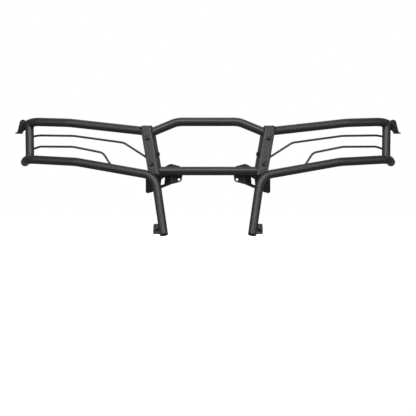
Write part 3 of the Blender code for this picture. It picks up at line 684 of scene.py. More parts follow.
def sheet(name, outline, holes, fold, frame):
    """A plate with rounded edges, cut to an outline with holes and folded."""
    edge = PLATE_EDGE
    turns = [math.radians(angle) for angle in (0, 30, 60, 90)]
    levels = [(edge * (1 - math.cos(t)), edge * (1 - math.sin(t))) for t in turns]
    levels += [(PLATE_T - depth, shift) for depth, shift in levels[::-1]]
    bm = bmesh.new()
    front_edges, to_back = [], {}
    for number, loop in enumerate([outline] + holes):
        loop = wound(loop, anticlockwise=number == 0)
        rings = [[bm.verts.new((p.x, p.y, depth)) for p in inset(loop, shift)] for depth, shift in levels]
        bridge(bm, rings)
        for k in range(len(loop)):
            front_edges.append(bm.edges.get((rings[0][k], rings[0][(k + 1) % len(loop)])))
            to_back[rings[0][k]] = rings[-1][k]
    filled = bmesh.ops.triangle_fill(bm, use_beauty=True, edges=front_edges)
    for face in [f for f in filled["geom"] if isinstance(f, bmesh.types.BMFace)]:
        bm.faces.new([to_back[v] for v in face.verts][::-1])
    for station in fold.stations:
        geometry = bm.verts[:] + bm.edges[:] + bm.faces[:]
        bmesh.ops.bisect_plane(bm, geom=geometry, dist=1e-5, plane_co=(station, 0, 0), plane_no=(1, 0, 0))
    for vert in bm.verts:
        point = fold.offset(vert.co.x, vert.co.z - PLATE_T / 2)
        vert.co = frame.at(point.x, vert.co.y, point.y)
    return finish_mesh(name, bm)


def add_sheet(name, mesh, body, material="powder_coat"):
    obj = add_piece(f"{name}_formed", mesh, material, body, [name])
    even_normals(obj)
    return obj


# Fasteners, turned about their own Z axis


def hex_radius(turn):
    """The distance to a bolt head's or nut's side in a direction."""
    sixth = math.pi / 3
    return HEX_FLAT / 2 / math.cos((turn + sixth / 2) % sixth - sixth / 2)


def lathe(name, section, closed):
    """A mesh from rings. Each is (radius, height) or a function of the angle that gives the same."""
    bm = bmesh.new()
    loops = []
    for ring in section:
        loop = []
        for k in range(TURNED_SIDES):
            turn = 2 * math.pi * k / TURNED_SIDES
            radius, height = ring(turn) if callable(ring) else ring
            loop.append(Vector((radius * math.cos(turn), radius * math.sin(turn), height)) * MM)
        loops.append(loop)
    skin(bm, loops, closed)
    return finish_mesh(name, bm, CRISP_TURNED)


def hex_rings(bottom, top, crown, both=False):
    """The rings of a hexagon with its corners turned off at the top and, for both, at the bottom."""
    slope = math.tan(math.radians(30))

    def upper(turn):
        radius = hex_radius(turn)
        return radius, top - max(radius - crown, 0.0) * slope

    def lower(turn):
        radius = hex_radius(turn)
        return radius, bottom + (max(radius - crown, 0.0) * slope if both else 0.0)

    return [(crown - 0.1, top), upper, lower]


def thread_rings(start, end, radius, pitch, depth):
    """Rings of a helical thread running from start down to end."""
    rings = []
    steps = round((start - end) / pitch * THREAD_STEPS)
    for step in range(steps + 1):
        height = start + (end - start) * step / steps
        fade = min(1.0, (start - height) / pitch, (height - end) / pitch + 0.2)

        def ring(turn, height=height, fade=fade):
            phase = (height / pitch + turn / (2 * math.pi)) % 1.0
            return radius - depth * fade * abs(2 * phase - 1), height

        rings.append(ring)
    return rings


def bolt(name, length, threaded):
    """A hex bolt. Z = 0 is the clamping face of its washers and the shank runs to -length."""
    bottom = WASHER_T + SPRING_T
    top = bottom + HEAD_H
    dish, step, collar = 0.25, 0.3, 6.2
    section = [(HEAD_CROWN - 1.4, top - dish), (HEAD_CROWN - 0.9, top)]
    section += hex_rings(bottom + step, top, HEAD_CROWN)
    section += [(collar, bottom + step), (collar, bottom), (BOLT_R + 0.35, bottom), (BOLT_R, bottom - 0.4)]
    if length > threaded:
        section.append((BOLT_R, -length + threaded + 0.5))
    start = min(bottom - 0.6, -length + threaded)
    section += thread_rings(start, -length + 0.8, BOLT_R, PITCH, THREAD_DEPTH)
    section += [(BOLT_R - THREAD_DEPTH - 0.4, -length)]
    return lathe(name, section, closed=False)


def washer(name, radius, thickness):
    """A flat washer standing on Z = 0, rounded on its punched side."""
    r = 0.3
    bore = BOLT_R + r
    section = [
        (bore, r), (bore + r, 0.0), (radius - r, 0.0), (radius, r),
        (radius, thickness - 2 * r), (radius - 0.2, thickness - 0.2), (radius - 2 * r, thickness),
        (bore + r, thickness), (bore, thickness - r),
    ]
    return lathe(name, section, closed=True)


def spring_washer(name):
    """A split spring washer between the flat washer and the bolt's head."""
    inner, outer = BOLT_R + 0.25, SPRING_R
    low, high, r = WASHER_T, WASHER_T + SPRING_T, 0.25
    corners = [
        (inner + r, low), (outer - r, low), (outer, low + r), (outer, high - r), (outer - r, high),
        (inner + r, high), (inner, high - r), (inner, low + r),
    ]
    bm = bmesh.new()
    rings = []
    steps = 60
    for step in range(steps + 1):
        share = step / steps
        ring = []
        for radius, height in corners:
            slant = (height - low) / SPRING_T * 0.22
            turn = 0.12 + slant + share * (2 * math.pi - 0.24)
            ring.append(Vector((radius * math.cos(turn), radius * math.sin(turn), height)) * MM)
        rings.append(ring)
    skin(bm, rings, closed=False)
    return finish_mesh(name, bm, CRISP_RING)


def nut_around(name, base, top, sides):
    """A nut with a chamfered bore, from its outer rings, listed from the top down."""
    bore, mouth, chamfer = BOLT_R + 0.15, BOLT_R + 0.7, 0.5
    section = [(bore, top - chamfer), (mouth, top), *sides, (mouth, base), (bore, base + chamfer)]
    return lathe(name, section, closed=True)


def nut(name):
    """A hex nut on top of its washer. Z = 0 is the washer's clamping face."""
    top = WASHER_T + NUT_H
    rings = hex_rings(WASHER_T, top, NUT_CROWN, both=True)
    return nut_around(name, WASHER_T, top, [*rings, (NUT_CROWN - 0.1, WASHER_T)])


def flange_nut(name):
    """A hex nut with its own round flange."""
    slope_end, edge = 1.4, 0.3
    top = slope_end + NUT_H
    flange = [(7.6, 2.2), (FLANGE_NUT_R - edge, slope_end), (FLANGE_NUT_R, 0.9), (FLANGE_NUT_R, edge)]
    sides = [*hex_rings(2.6, top, NUT_CROWN), *flange, (FLANGE_NUT_R - edge, 0.0)]
    return nut_around(name, 0.0, top, sides)


def sleeve(name, radius, length):
    """A cut length of tube with its edges broken."""
    r, bore = 0.4, BOLT_R + 0.35
    section = [
        (bore, r), (bore + r, 0.0), (radius - r, 0.0), (radius, r), (radius, length - r),
        (radius - r, length), (bore + r, length), (bore, length - r),
    ]
    return lathe(name, section, closed=True)


def screw(name):
    """A pan-head screw with a cross recess."""
    turns = [math.radians(15 * k) for k in range(1, 7)]
    rim, crown, edge = 0.9, 1.9, 0.25
    dome = [(SCREW_HEAD_R * math.sin(t), rim + crown * math.cos(t)) for t in turns]
    section = [(0.5, rim + crown), *dome, (SCREW_HEAD_R, edge), (SCREW_HEAD_R - edge, 0.0), (SCREW_R, 0.0)]
    section += thread_rings(-0.8, -SCREW_L + 3.0, SCREW_R, 1.6, 0.6)
    section.append((0.3, -SCREW_L))
    cutters = []
    long, short, top, floor, narrowing = 2.3, 0.42, 4.0, 1.1, 0.45
    for half_x, half_y in ((long, short), (short, long)):
        bm = bmesh.new()
        bmesh.ops.create_cube(bm, size=1.0)
        for vert in bm.verts:
            above = vert.co.z > 0
            taper = 1.0 if above else narrowing
            vert.co.x *= 2 * half_x * taper * MM
            vert.co.y *= 2 * half_y * taper * MM
            vert.co.z = (top if above else floor) * MM
        cutters.append(finish_mesh("recess", bm))
    return carved(lathe(name, section, closed=False), cutters)


def cap(name):
    """A domed plug. Z = 0 is where the tube ends, the plug goes to -Z and the dome stands on +Z."""
    turns = [math.radians(10 * k) for k in range(1, 10)]
    rim, dome, edge, chamfer = 1.2, 4.4, 0.6, 0.6
    section = [(0.6, rim + dome)] + [(TUBE_R * math.sin(t), rim + dome * math.cos(t)) for t in turns]
    plug, plug_end = TUBE_R - TUBE_WALL - 0.6, -10.0
    section += [(TUBE_R, edge), (TUBE_R - 0.3, GAP), (plug, GAP)]
    for rib in (-2.0, -4.5, -7.0):
        section += [(plug, rib), (plug + 0.4, rib - 0.3), (plug, rib - 1.2)]
    section += [(plug, plug_end + chamfer), (plug - chamfer, plug_end)]
    return lathe(name, section, closed=False)


def stand(name, kind, material, body, place, axis, nodes=()):
    """A fastener of the given kind with its own Z along a world axis."""
    mesh = FASTENERS[kind].copy()
    mesh.transform(Matrix.Translation(place) @ axis.to_track_quat("Z", "Y").to_matrix().to_4x4())
    return add_piece(name, mesh, material, body, nodes)


GRIP = PLATE_T + GAP + PLATE_T + 2 * GAP
FASTENERS = {
    "clamp_bolt": bolt("clamp_bolt", GRIP + WASHER_T + NUT_H + 3.0, 18.0),
    "vehicle_bolt": bolt("vehicle_bolt", PLATE_T + VEHICLE_T + NUT_H + 2.5, 16.0),
    "bracket_bolt": bolt("bracket_bolt", 2 * PLATE_T + 3 * GAP + 1.2, 9.0),
    "web_bolt": bolt("web_bolt", PLATE_T + 16.0, 18.0),
    "foot_bolt": bolt("foot_bolt", 40.0, 22.0),
    "large_washer": washer("large_washer", WASHER_R, WASHER_T),
    "small_washer": washer("small_washer", SMALL_WASHER_R, WASHER_T),
    "spring_washer": spring_washer("spring_washer"),
    "nut": nut("nut"),
    "flange_nut": flange_nut("flange_nut"),
    "foot_spacer": sleeve("foot_spacer", SPACER_R, SPACER_L),
    "standoff": sleeve("standoff", SLEEVE_R, SLEEVE_L),
    "screw": screw("screw"),
    "cap": cap("cap"),
}


def fit_bolt(node, kind, washer_kind, body, place, axis):
    """A bolt with its spring washer and flat washer."""
    stand(f"{node}_turned", kind, "black_hardware", body, place, axis, [node])
    stand(f"{node}_spring_washer", "spring_washer", "black_hardware", body, place, axis)
    stand(f"{node}_washer", washer_kind, "black_hardware", body, place, axis)


def fit_nut(node, kind, washer_kind, body, place, axis):
    """A nut, with its flat washer where it has a loose one."""
    stand(f"{node}_turned", kind, "black_hardware", body, place, axis, [node])
    if washer_kind:
        stand(f"{node}_washer", washer_kind, "black_hardware", body, place, axis)


# Centre section


def make_side_plate(side_name, side):
    """The L-shaped plate at the end of the centre section: slotted flange in front, drilled web behind."""
    base = plate_frame(side)
    frame = Frame(side, base.origin, -ACROSS, ALONG, THROUGH)
    half = PLATE_T / 2
    fold = Fold([(-FLANGE_OUT, half), (FLANGE_IN, half), (FLANGE_IN, WEB_DEPTH)], BEND_R)
    edge = fold.points[-1][0]
    flange_end = FLANGE_OUT + FLANGE_IN - BEND_R
    # The lower edge is a little above the CAD's, to clear the wing at the slides' upper limits.
    top_outer, top_inner, slant_top, bottom = 152.0, 144.5, -12.4, -46.4
    outline = [
        (0.0, slant_top), (0.0, top_outer - 4.0), (4.0, top_outer - 1.0), (flange_end, top_inner),
        (edge, top_inner), (edge, bottom + 6.0), (edge - 6.0, bottom), (flange_end, bottom),
    ]
    holes = [slot((FLANGE_OUT, height), SLOT_L, SLOT_W, CENTRE_SLOT_RISE) for height in (0.0, SLOT_PITCH)]
    web_start = edge - (WEB_DEPTH - BEND_R - half)
    holes.append(round_hole((web_start + WEB_HOLE_BACK - BEND_R - half, WEB_HOLE_UP)))
    name = f"{side_name}_side_plate"
    add_sheet(name, sheet(name, softened(outline, 5.0), holes, fold, frame), "centre")


def make_centre_tubes(welds):
    """The arched top tube and the straight bottom tube, welded to the webs' inner faces."""
    inner_face = -(FLANGE_IN + PLATE_T / 2 + GAP)
    planes = {}
    for side in SIDES.values():
        planes[side] = (plate_frame(side).at(inner_face), turned(side, ACROSS))
    drop = (TOP_REACH - TOP_BEND_OUT) * math.tan(TOP_SLOPE)
    end = (TOP_REACH, TOP_BACK - drop * math.tan(LEAN), TOP_UP - drop)
    shoulder = (TOP_BEND_OUT, TOP_BACK, TOP_UP)
    top = [(-end[0], *end[1:]), (-shoulder[0], *shoulder[1:]), shoulder, end]
    bottom = [(-BOTTOM_REACH, 0, 0), (BOTTOM_REACH, 0, 0)]
    tubes = {"centre_top_tube": (top, [CENTRE_BEND_R] * 2), "centre_bottom_tube": (bottom, [])}
    for name, (corners, radii) in tubes.items():
        path = world_path(1, corners, radii)
        mesh = sweep(name, path, TUBE_R, TUBE_SIDES, UP, TUBE_WALL, planes[-1], planes[1])
        add_drawn(name, mesh, "centre")
        rings = path_rings(path, [TUBE_R * MM] * len(path), TUBE_SIDES, UP)
        for ring, before, after, side in ((rings[0], 0, 1, -1), (rings[-1], -2, -1, 1)):
            direction = (path[after] - path[before]).normalized()
            add_bead(welds, onto_plane(ring, direction, planes[side]), TUBE_WELD)


def make_lower_tab(side_name, side, welds):
    """The small round-ended tab behind the bottom tube that takes the bracket's bolt."""
    half = TAB_W / 2
    frame = Frame(side, (TAB_OUT - half, TUBE_R + GAP, 0), (1, 0, 0), (0, 0, 1), (0, 1, 0))
    round_end = arc_points((half, TAB_BOTTOM + half), half, math.pi, 2 * math.pi, 24)
    outline = round_end + [(TAB_W, TAB_TOP), (0.0, TAB_TOP)]
    name = f"{side_name}_lower_tab"
    mesh = sheet(name, softened(outline, 2.0), [round_hole((half, TAB_HOLE_UP))], flat(), frame)
    add_sheet(name, mesh, "centre")
    for up in (-6.5, 6.5):
        depth = -GAP - (TUBE_R - math.sqrt(TUBE_R**2 - up**2)) / 2
        add_bead(welds, [frame.at(1.5, up, depth), frame.at(TAB_W - 1.5, up, depth)], TAB_WELD, closed=False)


def make_bracket(side_name, side):
    """The twice-folded bracket from the lower tab to the vehicle."""
    turn = BRACKET_TURN
    across = (math.cos(turn), 0, math.sin(turn))
    along = (-math.sin(turn), 0, math.cos(turn))
    frame = Frame(side, (TAB_OUT, BRACKET_FRONT, TAB_HOLE_UP), across, along, (0, 1, 0))
    half = PLATE_T / 2
    inner, outer = BRACKET_BENDS
    corners = [(-20.0, half), (inner, half), (outer, half + BRACKET_DEPTH), (150.0, half + BRACKET_DEPTH)]
    fold = Fold(corners, BEND_R)

    def drawn(points):
        turned_points = [(x * across[0] + y * across[2], x * along[0] + y * along[2]) for x, y in points]
        return [(fold.reach(x), y) for x, y in turned_points]

    holes = [drawn(softened(BRACKET_WINDOW, 3.0))]
    holes += [drawn(round_hole(place)) for place in NARROW_HOLES + WIDE_HOLES]
    name = f"{side_name}_bracket"
    mesh = sheet(name, drawn(softened(BRACKET_OUTLINE, 6.0)), holes, fold, frame)
    add_sheet(name, mesh, "centre", "bracket_coat")


def fit_centre_fasteners(side_name, side):
    """Bracket bolts, web bolts with their stand-off sleeves, and the bolts and nuts to the vehicle."""
    backward = -FORWARD
    place = world(side, (TAB_OUT, BRACKET_FRONT + PLATE_T + GAP, TAB_HOLE_UP))
    fit_bolt(f"{side_name}_bracket_bolt", "bracket_bolt", "small_washer", "centre", place, backward)
    frame = plate_frame(side)
    outboard = frame.turned(ACROSS)
    inside = frame.at(-(FLANGE_IN + PLATE_T / 2 + GAP), WEB_HOLE_UP, WEB_HOLE_BACK)
    fit_bolt(f"{side_name}_web_bolt", "web_bolt", "small_washer", "centre", inside, -outboard)
    outside = frame.at(-(FLANGE_IN - PLATE_T / 2 - GAP), WEB_HOLE_UP, WEB_HOLE_BACK)
    name = f"{side_name}_standoff_sleeve"
    stand(f"{name}_turned", "standoff", "zinc", "centre", outside, outboard, [name])
    front = BRACKET_FRONT + BRACKET_DEPTH
    rear = front + PLATE_T + VEHICLE_T
    for level, (out, up) in zip(("upper", "lower"), WIDE_HOLES):
        name = f"{side_name}_{level}_vehicle"
        spot = world(side, (TAB_OUT + out, front - GAP, TAB_HOLE_UP + up))
        fit_bolt(f"{name}_bolt", "vehicle_bolt", "small_washer", "centre", spot, FORWARD)
        spot = world(side, (TAB_OUT + out, rear, TAB_HOLE_UP + up))
        fit_nut(f"{name}_nut", "nut", "small_washer", "centre", spot, backward)


# Clamps


def fit_clamp(side_name, side):
    """Two bolts and nuts that hold a wing plate behind the centre section's flange."""
    frame = plate_frame(side)
    backward = frame.turned(THROUGH)
    body = f"{side_name}_clamp"
    for level, height in (("lower", 0.0), ("upper", SLOT_PITCH)):
        name = f"{side_name}_{level}_clamp"
        place = frame.at(0, height, -GAP)
        fit_bolt(f"{name}_bolt", "clamp_bolt", "large_washer", body, place, -backward)
        place = frame.at(0, height, 2 * PLATE_T + 2 * GAP)
        fit_nut(f"{name}_nut", "nut", "large_washer", body, place, backward)


# Wings


def outer_turn(bend, turn):
    """The corner and the end of a wing tube's outer bend, from the wing's yaw to the tube's end yaw."""
    out, up, radius, end_yaw, tail, end_up = turn
    reach = radius * math.tan((end_yaw - WING_YAW) / 2)
    along = out - bend.x + reach * math.cos(WING_YAW)
    rise = along * (up - bend.z) / (out - bend.x)
    corner = bend + Vector((along, along * math.tan(WING_YAW), rise))
    end = corner + (reach + tail) * Vector((math.cos(end_yaw), math.sin(end_yaw), 0))
    end.z = end_up
    return corner, end


def wing_paths():
    """The corners and radii of both wing tubes. The inner runs lie in the wing plate's middle plane."""
    start = in_plate_plane(*WING_TOP_START, WING_MIDDLE)
    bend = in_plate_plane(*TOP_BEND, WING_MIDDLE)
    top = ([start, bend, *outer_turn(bend, TOP_TURN)], [WING_BEND_R, TOP_TURN[2]])
    leg = in_plate_plane(*LEG_END, WING_MIDDLE)
    knee = in_plate_plane(*LEG_CORNER, WING_MIDDLE)
    bend = in_plate_plane(*BOTTOM_BEND, WING_MIDDLE)
    corners = [leg, knee, bend, *outer_turn(bend, BOTTOM_TURN)]
    return top, (corners, [LEG_BEND_R, WING_BEND_R, BOTTOM_TURN[2]])


def cope_block(side):
    """The block that notches the top tube's end so that only its rear half reaches behind the wing plate."""
    frame = plate_frame(side)
    rear = 2 * PLATE_T + 2 * GAP
    bm = bmesh.new()
    edge = WING_PLATE_OUT + GAP
    corners = [(a, h, b) for a in (edge, -40.0) for h in (60.0, 190.0) for b in (-40.0, rear)]
    verts = [bm.verts.new(frame.at(*corner)) for corner in corners]
    for face in ((0, 1, 3, 2), (4, 5, 7, 6), (0, 1, 5, 4), (2, 3, 7, 6), (0, 2, 6, 4), (1, 3, 7, 5)):
        bm.faces.new([verts[k] for k in face])
    return finish_mesh("cope", bm)


def make_wing_tubes(side_name, side, welds):
    """Top tube, bottom tube with its leg, and upright. Returns their paths."""
    (top_corners, top_radii), (bottom_corners, bottom_radii) = wing_paths()
    frame = plate_frame(side)
    body = f"{side_name}_wing"

    top = world_path(side, top_corners, top_radii)
    inner = (frame.at(WING_PLATE_OUT - COPE_REACH), frame.turned(ACROSS))
    end_yaw = TOP_TURN[3]
    square = (top[-1], frame.turned((math.cos(end_yaw), math.sin(end_yaw), 0)))
    name = f"{side_name}_wing_top_tube"
    mesh = sweep(name, top, TUBE_R, TUBE_SIDES, UP, TUBE_WALL, inner, square)
    add_drawn(name, carved(mesh, [cope_block(side)]), body)
    rings = path_rings(top, [TUBE_R * MM] * len(top), TUBE_SIDES, UP)
    add_bead(welds, onto_plane(rings[-1], (top[-1] - top[-2]).normalized(), square), THIN_WELD)

    bottom = world_path(side, bottom_corners, bottom_radii)
    name = f"{side_name}_wing_bottom_tube"
    add_drawn(name, sweep(name, bottom, TUBE_R, TUBE_SIDES, FORWARD, TUBE_WALL), body)

    upright = world_path(side, [UPRIGHT_FOOT, UPRIGHT_HEAD], [])
    name = f"{side_name}_wing_upright"
    mesh = sweep(name, upright, TUBE_R, TUBE_SIDES, FORWARD, TUBE_WALL)
    add_drawn(name, carved(mesh, [room_for(top, UP), room_for(bottom, FORWARD)]), body)
    middle = upright[0].lerp(upright[1], 0.5)
    rise = (upright[1] - upright[0]).normalized()
    add_bead(welds, ring_on_tube(middle, rise, TUBE_R, TUBE_SIDES, top, UPRIGHT_REACH), TUBE_WELD)
    add_bead(welds, ring_on_tube(middle, -rise, TUBE_R, TUBE_SIDES, bottom, UPRIGHT_REACH), TUBE_WELD)
    return top, bottom, upright


def inside_outline(outline, x, y):
    """Whether a point lies in a closed outline."""
    inside = False
    for (x0, y0), (x1, y1) in zip(outline, outline[1:] + outline[:1]):
        if (y0 > y) != (y1 > y) and x < x0 + (x1 - x0) * (y - y0) / (y1 - y0):
            inside = not inside
    return inside


def make_wing_plate(side_name, side, top, bottom, welds):
    """The slotted plate that bolts behind the centre section's flange, and its welds to both tubes."""
    base = plate_frame(side, PLATE_T + GAP)
    frame = Frame(side, base.local(WING_PLATE_OUT, 0, 0), -ACROSS, ALONG, THROUGH)
    width = WING_PLATE_OUT + WING_PLATE_IN
    outline = [
        (0.0, 141.0), (0.0, -38.0), (WING_PLATE_OUT - 6.6, -57.0), (width, -35.0), (width, 124.0),
        (width - 13.0, 141.0),
    ]
    outline = softened(outline, 5.0)
    holes = [slot((WING_PLATE_OUT, height), SLOT_L, SLOT_W, math.pi / 2) for height in (0.0, SLOT_PITCH)]
    name = f"{side_name}_wing_plate"
    mesh = sheet(name, outline, holes, flat(), frame)
    add_sheet(name, carved(mesh, [room_for(bottom, FORWARD)]), f"{side_name}_wing")

    # Beads along the bottom tube, on the plate's rear face only
    axes = [frame.turned(axis) for axis in frame.axes]
    line = resample(bottom, 1.5 * MM, closed=False)
    rear_face = PLATE_T / 2
    for lean in (-1, 1):
        run = []
        for point, after in zip(line, line[1:]):
            direction = (after - point).normalized()
            sideways = direction.cross(axes[2]).normalized() * lean
            spot = point + (sideways * math.sqrt(TUBE_R**2 - rear_face**2) + axes[2] * rear_face) * MM
            place = (spot - frame.at(0)) / MM
            if inside_outline(outline, place.dot(axes[0]), place.dot(axes[1])):
                run.append(spot)
        if len(run) > 4:
            add_bead(welds, run, PLATE_WELD, closed=False)

    # The top tube's notched end: a bead in front, a plug in its bore and two beads behind
    edge = WING_PLATE_OUT + GAP
    direction = (top[1] - top[0]).normalized()
    axis_point = onto_plane([top[0]], direction, (plate_frame(side).at(edge), frame.turned(ACROSS)))[0]
    along = axes[1] * (TUBE_R - 1.5) * MM
    front = axis_point - axes[2] * (PLATE_T / 2) * MM
    add_bead(welds, [front - along, front + along], PLATE_WELD, closed=False)
    rear = axis_point + axes[2] * (PLATE_T / 2 + GAP) * MM
    plug = resample([axis_point + direction * depth * MM for depth in (0.6, 2.6)], MM, closed=False)
    skin(welds, path_rings(plug, [(TUBE_R - TUBE_WALL) * MM] * len(plug), TUBE_SIDES, UP), closed=False)
    for lean in (-1, 1):
        spot = rear + axes[1] * TUBE_R * lean * MM
        add_bead(welds, [spot, spot + axes[0] * COPE_REACH * MM], TAB_WELD, closed=False)


def make_rods(side_name, side, bottom, upright, welds):
    """The two thin bent rods that fill the wing's frame."""
    foot, head = Vector(UPRIGHT_FOOT), Vector(UPRIGHT_HEAD)
    base = Vector((0, SLOT_BACK + WING_MIDDLE / THROUGH.y, 0))
    frame = plate_frame(side, WING_MIDDLE)
    plate_edge = (frame.at(WING_PLATE_OUT + GAP), frame.turned(ACROSS))
    for level, rod, end_plane in (("upper", UPPER_ROD, plate_edge), ("lower", LOWER_ROD, None)):
        height, bends, radii, end = rod
        start = foot.lerp(head, (height - foot.z) / (head.z - foot.z))
        corners = [start] + [Vector(bend) + base for bend in bends] + [in_plate_plane(*end, WING_MIDDLE)]
        path = world_path(side, corners, radii)
        name = f"{side_name}_{level}_rod"
        mesh = sweep(name, path, ROD_R, ROD_SIDES, UP, end_plane=end_plane)
        cutters = [room_for(upright, FORWARD)]
        if level == "lower":
            cutters.append(room_for(bottom, FORWARD))
        add_drawn(name, carved(mesh, cutters), f"{side_name}_wing")
        away = (path[1] - path[0]).normalized()
        outside = path[0] + away * UPRIGHT_CLEAR * MM
        add_bead(welds, ring_on_tube(outside, -away, ROD_R, ROD_BEAD_STEPS, upright), ROD_WELD)
        last = (path[-1] - path[-2]).normalized()
        if end_plane:
            rings = path_rings(path, [ROD_R * MM] * len(path), ROD_BEAD_STEPS, UP)
            add_bead(welds, onto_plane(rings[-1], last, end_plane), ROD_WELD)
        else:
            outside = path[-1] - last * BOTTOM_CLEAR * MM
            add_bead(welds, ring_on_tube(outside, last, ROD_R, ROD_BEAD_STEPS, bottom), ROD_WELD)


def make_hook(side_name, side):
    """The plate across the top tube's rear end, folded at the bottom into a lip, and its two screws."""
    (top_corners, _), _ = wing_paths()
    end_yaw = TOP_TURN[3]
    back = Vector((math.cos(end_yaw), math.sin(end_yaw), 0))
    outboard = Vector((math.sin(end_yaw), -math.cos(end_yaw), 0))
    shift = back * GAP + outboard * HOOK_SHIFT_OUT + Vector((0, 0, HOOK_SHIFT_UP))
    frame = Frame(side, top_corners[-1] + shift, (0, 0, -1), outboard, back)
    half = PLATE_T / 2
    start = 20.0
    corners = [(-start, half), (HOOK_LIP_DOWN, half), (HOOK_LIP_DOWN, half + HOOK_LIP)]
    fold = Fold(corners, BEND_R - 1.0)
    edge = fold.points[-1][0]
    bend = start + HOOK_LIP_DOWN - BEND_R
    quarter = math.pi / 2
    arch = arc_points((start, 0.0), HOOK_ARCH_R, quarter, 2.5 * quarter, 20)
    pad = arc_points((start + HOOK_SHIFT_UP, -HOOK_SHIFT_OUT), HOOK_PAD_R, 1.8 * quarter, 4 * quarter, 26)
    outline = arch + pad + [(start + 27.0, -5.0), (bend, 0.0), (edge, 2.0)]
    outline += [(edge, 24.0), (edge - 3.0, 27.0), (bend + 5.0, 27.0), (bend, 22.5)]
    holes = [round_hole((start + s, a), SCREW_R + 0.5) for s, a in HOOK_SCREWS]
    name = f"{side_name}_fender_hook"
    body = f"{side_name}_wing"
    add_sheet(name, sheet(name, softened(outline, 3.0), holes, fold, frame), body)
    for count, (s, a) in enumerate(HOOK_SCREWS, start=1):
        name = f"{side_name}_hook_screw_{count}"
        place = frame.at(s, a, -GAP)
        stand(f"{name}_turned", "screw", "black_hardware", body, place, -frame.turned(back), [name])


def make_foot(side_name, side, bottom, welds):
    """The slotted tab behind the leg's lower end, with its long bolt, spacer and flange nut."""
    level = Vector((math.cos(PLATE_YAW), math.sin(PLATE_YAW), 0))
    outboard = (level - level.dot(THROUGH) * THROUGH).normalized()
    origin = in_plate_plane(*FOOT_SLOT, WING_MIDDLE) + (TUBE_R + GAP) * THROUGH
    frame = Frame(side, origin - outboard * FOOT_SLOT_IN, outboard, outboard.cross(THROUGH), THROUGH)
    half, corner = FOOT_HALF_H, FOOT_CORNER
    outline = [(8.0, half), (4.0, -half)]
    outline += arc_points((FOOT_W - corner, corner - half), corner, -math.pi / 2, 0, 8)
    outline += arc_points((FOOT_W - corner, half - corner), corner, 0, math.pi / 2, 8)
    hole = slot((FOOT_SLOT_IN, 0.0), FOOT_SLOT_L, SLOT_W, math.pi / 2)
    name = f"{side_name}_foot_tab"
    body = f"{side_name}_wing"
    add_sheet(name, sheet(name, softened(outline, 2.0), [hole], flat(), frame), body)

    axes = [frame.turned(axis) for axis in frame.axes]
    leg = (bottom[1] - bottom[0]).normalized()
    tangent = []
    for height in (-half + 2.0, half - 2.0):
        spot = frame.at(0, height, 0)
        run = (spot - bottom[0]).dot(axes[1]) / leg.dot(axes[1])
        tangent.append(bottom[0] + leg * run + axes[2] * (TUBE_R - 0.5) * MM)
    for lean in (-5.0, 5.5):
        add_bead(welds, [spot + axes[0] * lean * MM for spot in tangent], FOOT_WELD, closed=False)

    backward = frame.turned(THROUGH)
    prefix = f"{side_name}_foot"
    fit_bolt(f"{prefix}_bolt", "foot_bolt", "large_washer", body, frame.at(FOOT_SLOT_IN, 0, -GAP), -backward)
    place = frame.at(FOOT_SLOT_IN, 0, PLATE_T + GAP)
    stand(f"{prefix}_spacer_turned", "foot_spacer", "zinc", body, place, backward, [f"{prefix}_spacer"])
    place = frame.at(FOOT_SLOT_IN, 0, PLATE_T + GAP + SPACER_L + VEHICLE_T)
    fit_nut(f"{prefix}_nut", "flange_nut", None, body, place, backward)


def fit_caps(side_name, side):
    """Plugs in the bottom tube's rear end and in the leg's lower end."""
    _, (corners, _) = wing_paths()
    body = f"{side_name}_wing"
    for kind, end, before in (("rear_cap", corners[-1], corners[-2]), ("leg_cap", corners[0], corners[1])):
        name = f"{side_name}_{kind}"
        axis = turned(side, end - before)
        stand(f"{name}_moulded", "cap", "black_plastic", body, world(side, end), axis, [name])


def add_welds(body, welds):
    """All of a body's weld beads as one piece."""
    name = f"{body}_welds"
    add_piece(name, finish_mesh(name, welds), "weld", body)


def make_wing(side_name, side):
    welds = bmesh.new()
    top, bottom, upright = make_wing_tubes(side_name, side, welds)
    make_wing_plate(side_name, side, top, bottom, welds)
    make_rods(side_name, side, bottom, upright, welds)
    make_hook(side_name, side)
    make_foot(side_name, side, bottom, welds)
    fit_caps(side_name, side)
    add_welds(f"{side_name}_wing", welds)


def make_centre():
    welds = bmesh.new()
    make_centre_tubes(welds)
    for side_name, side in SIDES.items():
        make_side_plate(side_name, side)
        make_lower_tab(side_name, side, welds)
        make_bracket(side_name, side)
        fit_centre_fasteners(side_name, side)
        fit_clamp(side_name, side)
    add_welds("centre", welds)


# Studio

FLOOR_REACH, FLOOR_GLOW = 40.0, 0.88
FILL_STRENGTH = 0.21


def make_floor(height):
    """A wide pale floor that takes soft shadows."""
    mesh = bpy.data.meshes.new("floor")
    corners = [(FLOOR_REACH * x, FLOOR_REACH * y, height) for x, y in ((-1, -1), (1, -1), (1, 1), (-1, 1))]
    mesh.from_pydata(corners, [], [(0, 1, 2, 3)])
    floor = bpy.data.objects.new("floor", mesh)
    bpy.context.scene.collection.objects.link(floor)
    material = bpy.data.materials.new("pale_floor")
    material.use_nodes = True
    shader = material.node_tree.nodes["Principled BSDF"]
    shader.inputs["Base Color"].default_value = (0.9, 0.9, 0.9, 1)
    shader.inputs["Roughness"].default_value = 0.9
    shader.inputs["Specular IOR Level"].default_value = 0.0
    shader.inputs["Emission Color"].default_value = (1, 1, 1, 1)
    shader.inputs["Emission Strength"].default_value = FLOOR_GLOW
    mesh.materials.append(material)
    floor.visible_diffuse = False
    floor.visible_glossy = False


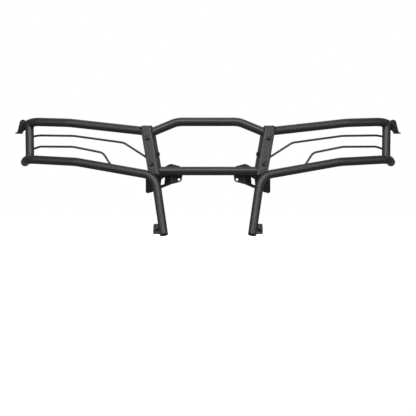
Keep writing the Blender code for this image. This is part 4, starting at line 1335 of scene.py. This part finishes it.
def make_world():
    """White behind the guard, and a soft grey fill all round it."""
    made = bpy.data.worlds.new("studio")
    bpy.context.scene.world = made
    made.use_nodes = True
    tree = made.node_tree
    tree.nodes.clear()
    seen = node(tree, "ShaderNodeBackground", Color=(1, 1, 1, 1), Strength=1.0)
    fill = node(tree, "ShaderNodeBackground", Color=(1, 1, 1, 1), Strength=FILL_STRENGTH)
    ray = tree.nodes.new("ShaderNodeLightPath")
    mix = tree.nodes.new("ShaderNodeMixShader")
    output = tree.nodes.new("ShaderNodeOutputWorld")
    tree.links.new(ray.outputs["Is Camera Ray"], mix.inputs[0])
    tree.links.new(fill.outputs[0], mix.inputs[1])
    tree.links.new(seen.outputs[0], mix.inputs[2])
    tree.links.new(mix.outputs[0], output.inputs["Surface"])


def add_light(name, place, target, size, energy):
    """A soft rectangular light that isn't seen itself."""
    lamp = bpy.data.lights.new(name, "AREA")
    lamp.shape = "RECTANGLE"
    lamp.size, lamp.size_y = size
    lamp.energy = energy
    obj = bpy.data.objects.new(name, lamp)
    bpy.context.scene.collection.objects.link(obj)
    obj.location = place
    obj.rotation_euler = (Vector(target) - Vector(place)).to_track_quat("-Z", "Y").to_euler()
    obj.visible_camera = False


def make_camera(distance, width, height):
    """A long lens, level and square to the guard, that takes in the given width."""
    lens = bpy.data.cameras.new("camera")
    lens.sensor_width = 36.0
    lens.lens = lens.sensor_width * distance / width
    lens.clip_end = 200.0
    camera = bpy.data.objects.new("camera", lens)
    bpy.context.scene.collection.objects.link(camera)
    camera.location = (0, -distance, height)
    camera.rotation_euler = (math.pi / 2, 0, 0)
    bpy.context.scene.camera = camera


make_centre()
for side_name, side in SIDES.items():
    make_wing(side_name, side)

make_floor(cad_box[0][2])
make_world()
add_light("key", (0.0, -2.7, 2.5), (0, 0, 0.05), (3.2, 2.2), 112.0)
add_light("left_fill", (-2.6, -2.4, 0.9), (-0.2, 0, 0), (1.0, 1.6), 22.0)
add_light("right_fill", (2.6, -2.4, 0.9), (0.2, 0, 0), (1.0, 1.6), 22.0)
add_light("back", (0.0, 1.7, 3.3), (0, 0, 0.05), (3.0, 1.0), 22.0)
make_camera(distance=12.0, width=1.539, height=-0.0851)
bpy.context.scene.view_settings.view_transform = "Standard"
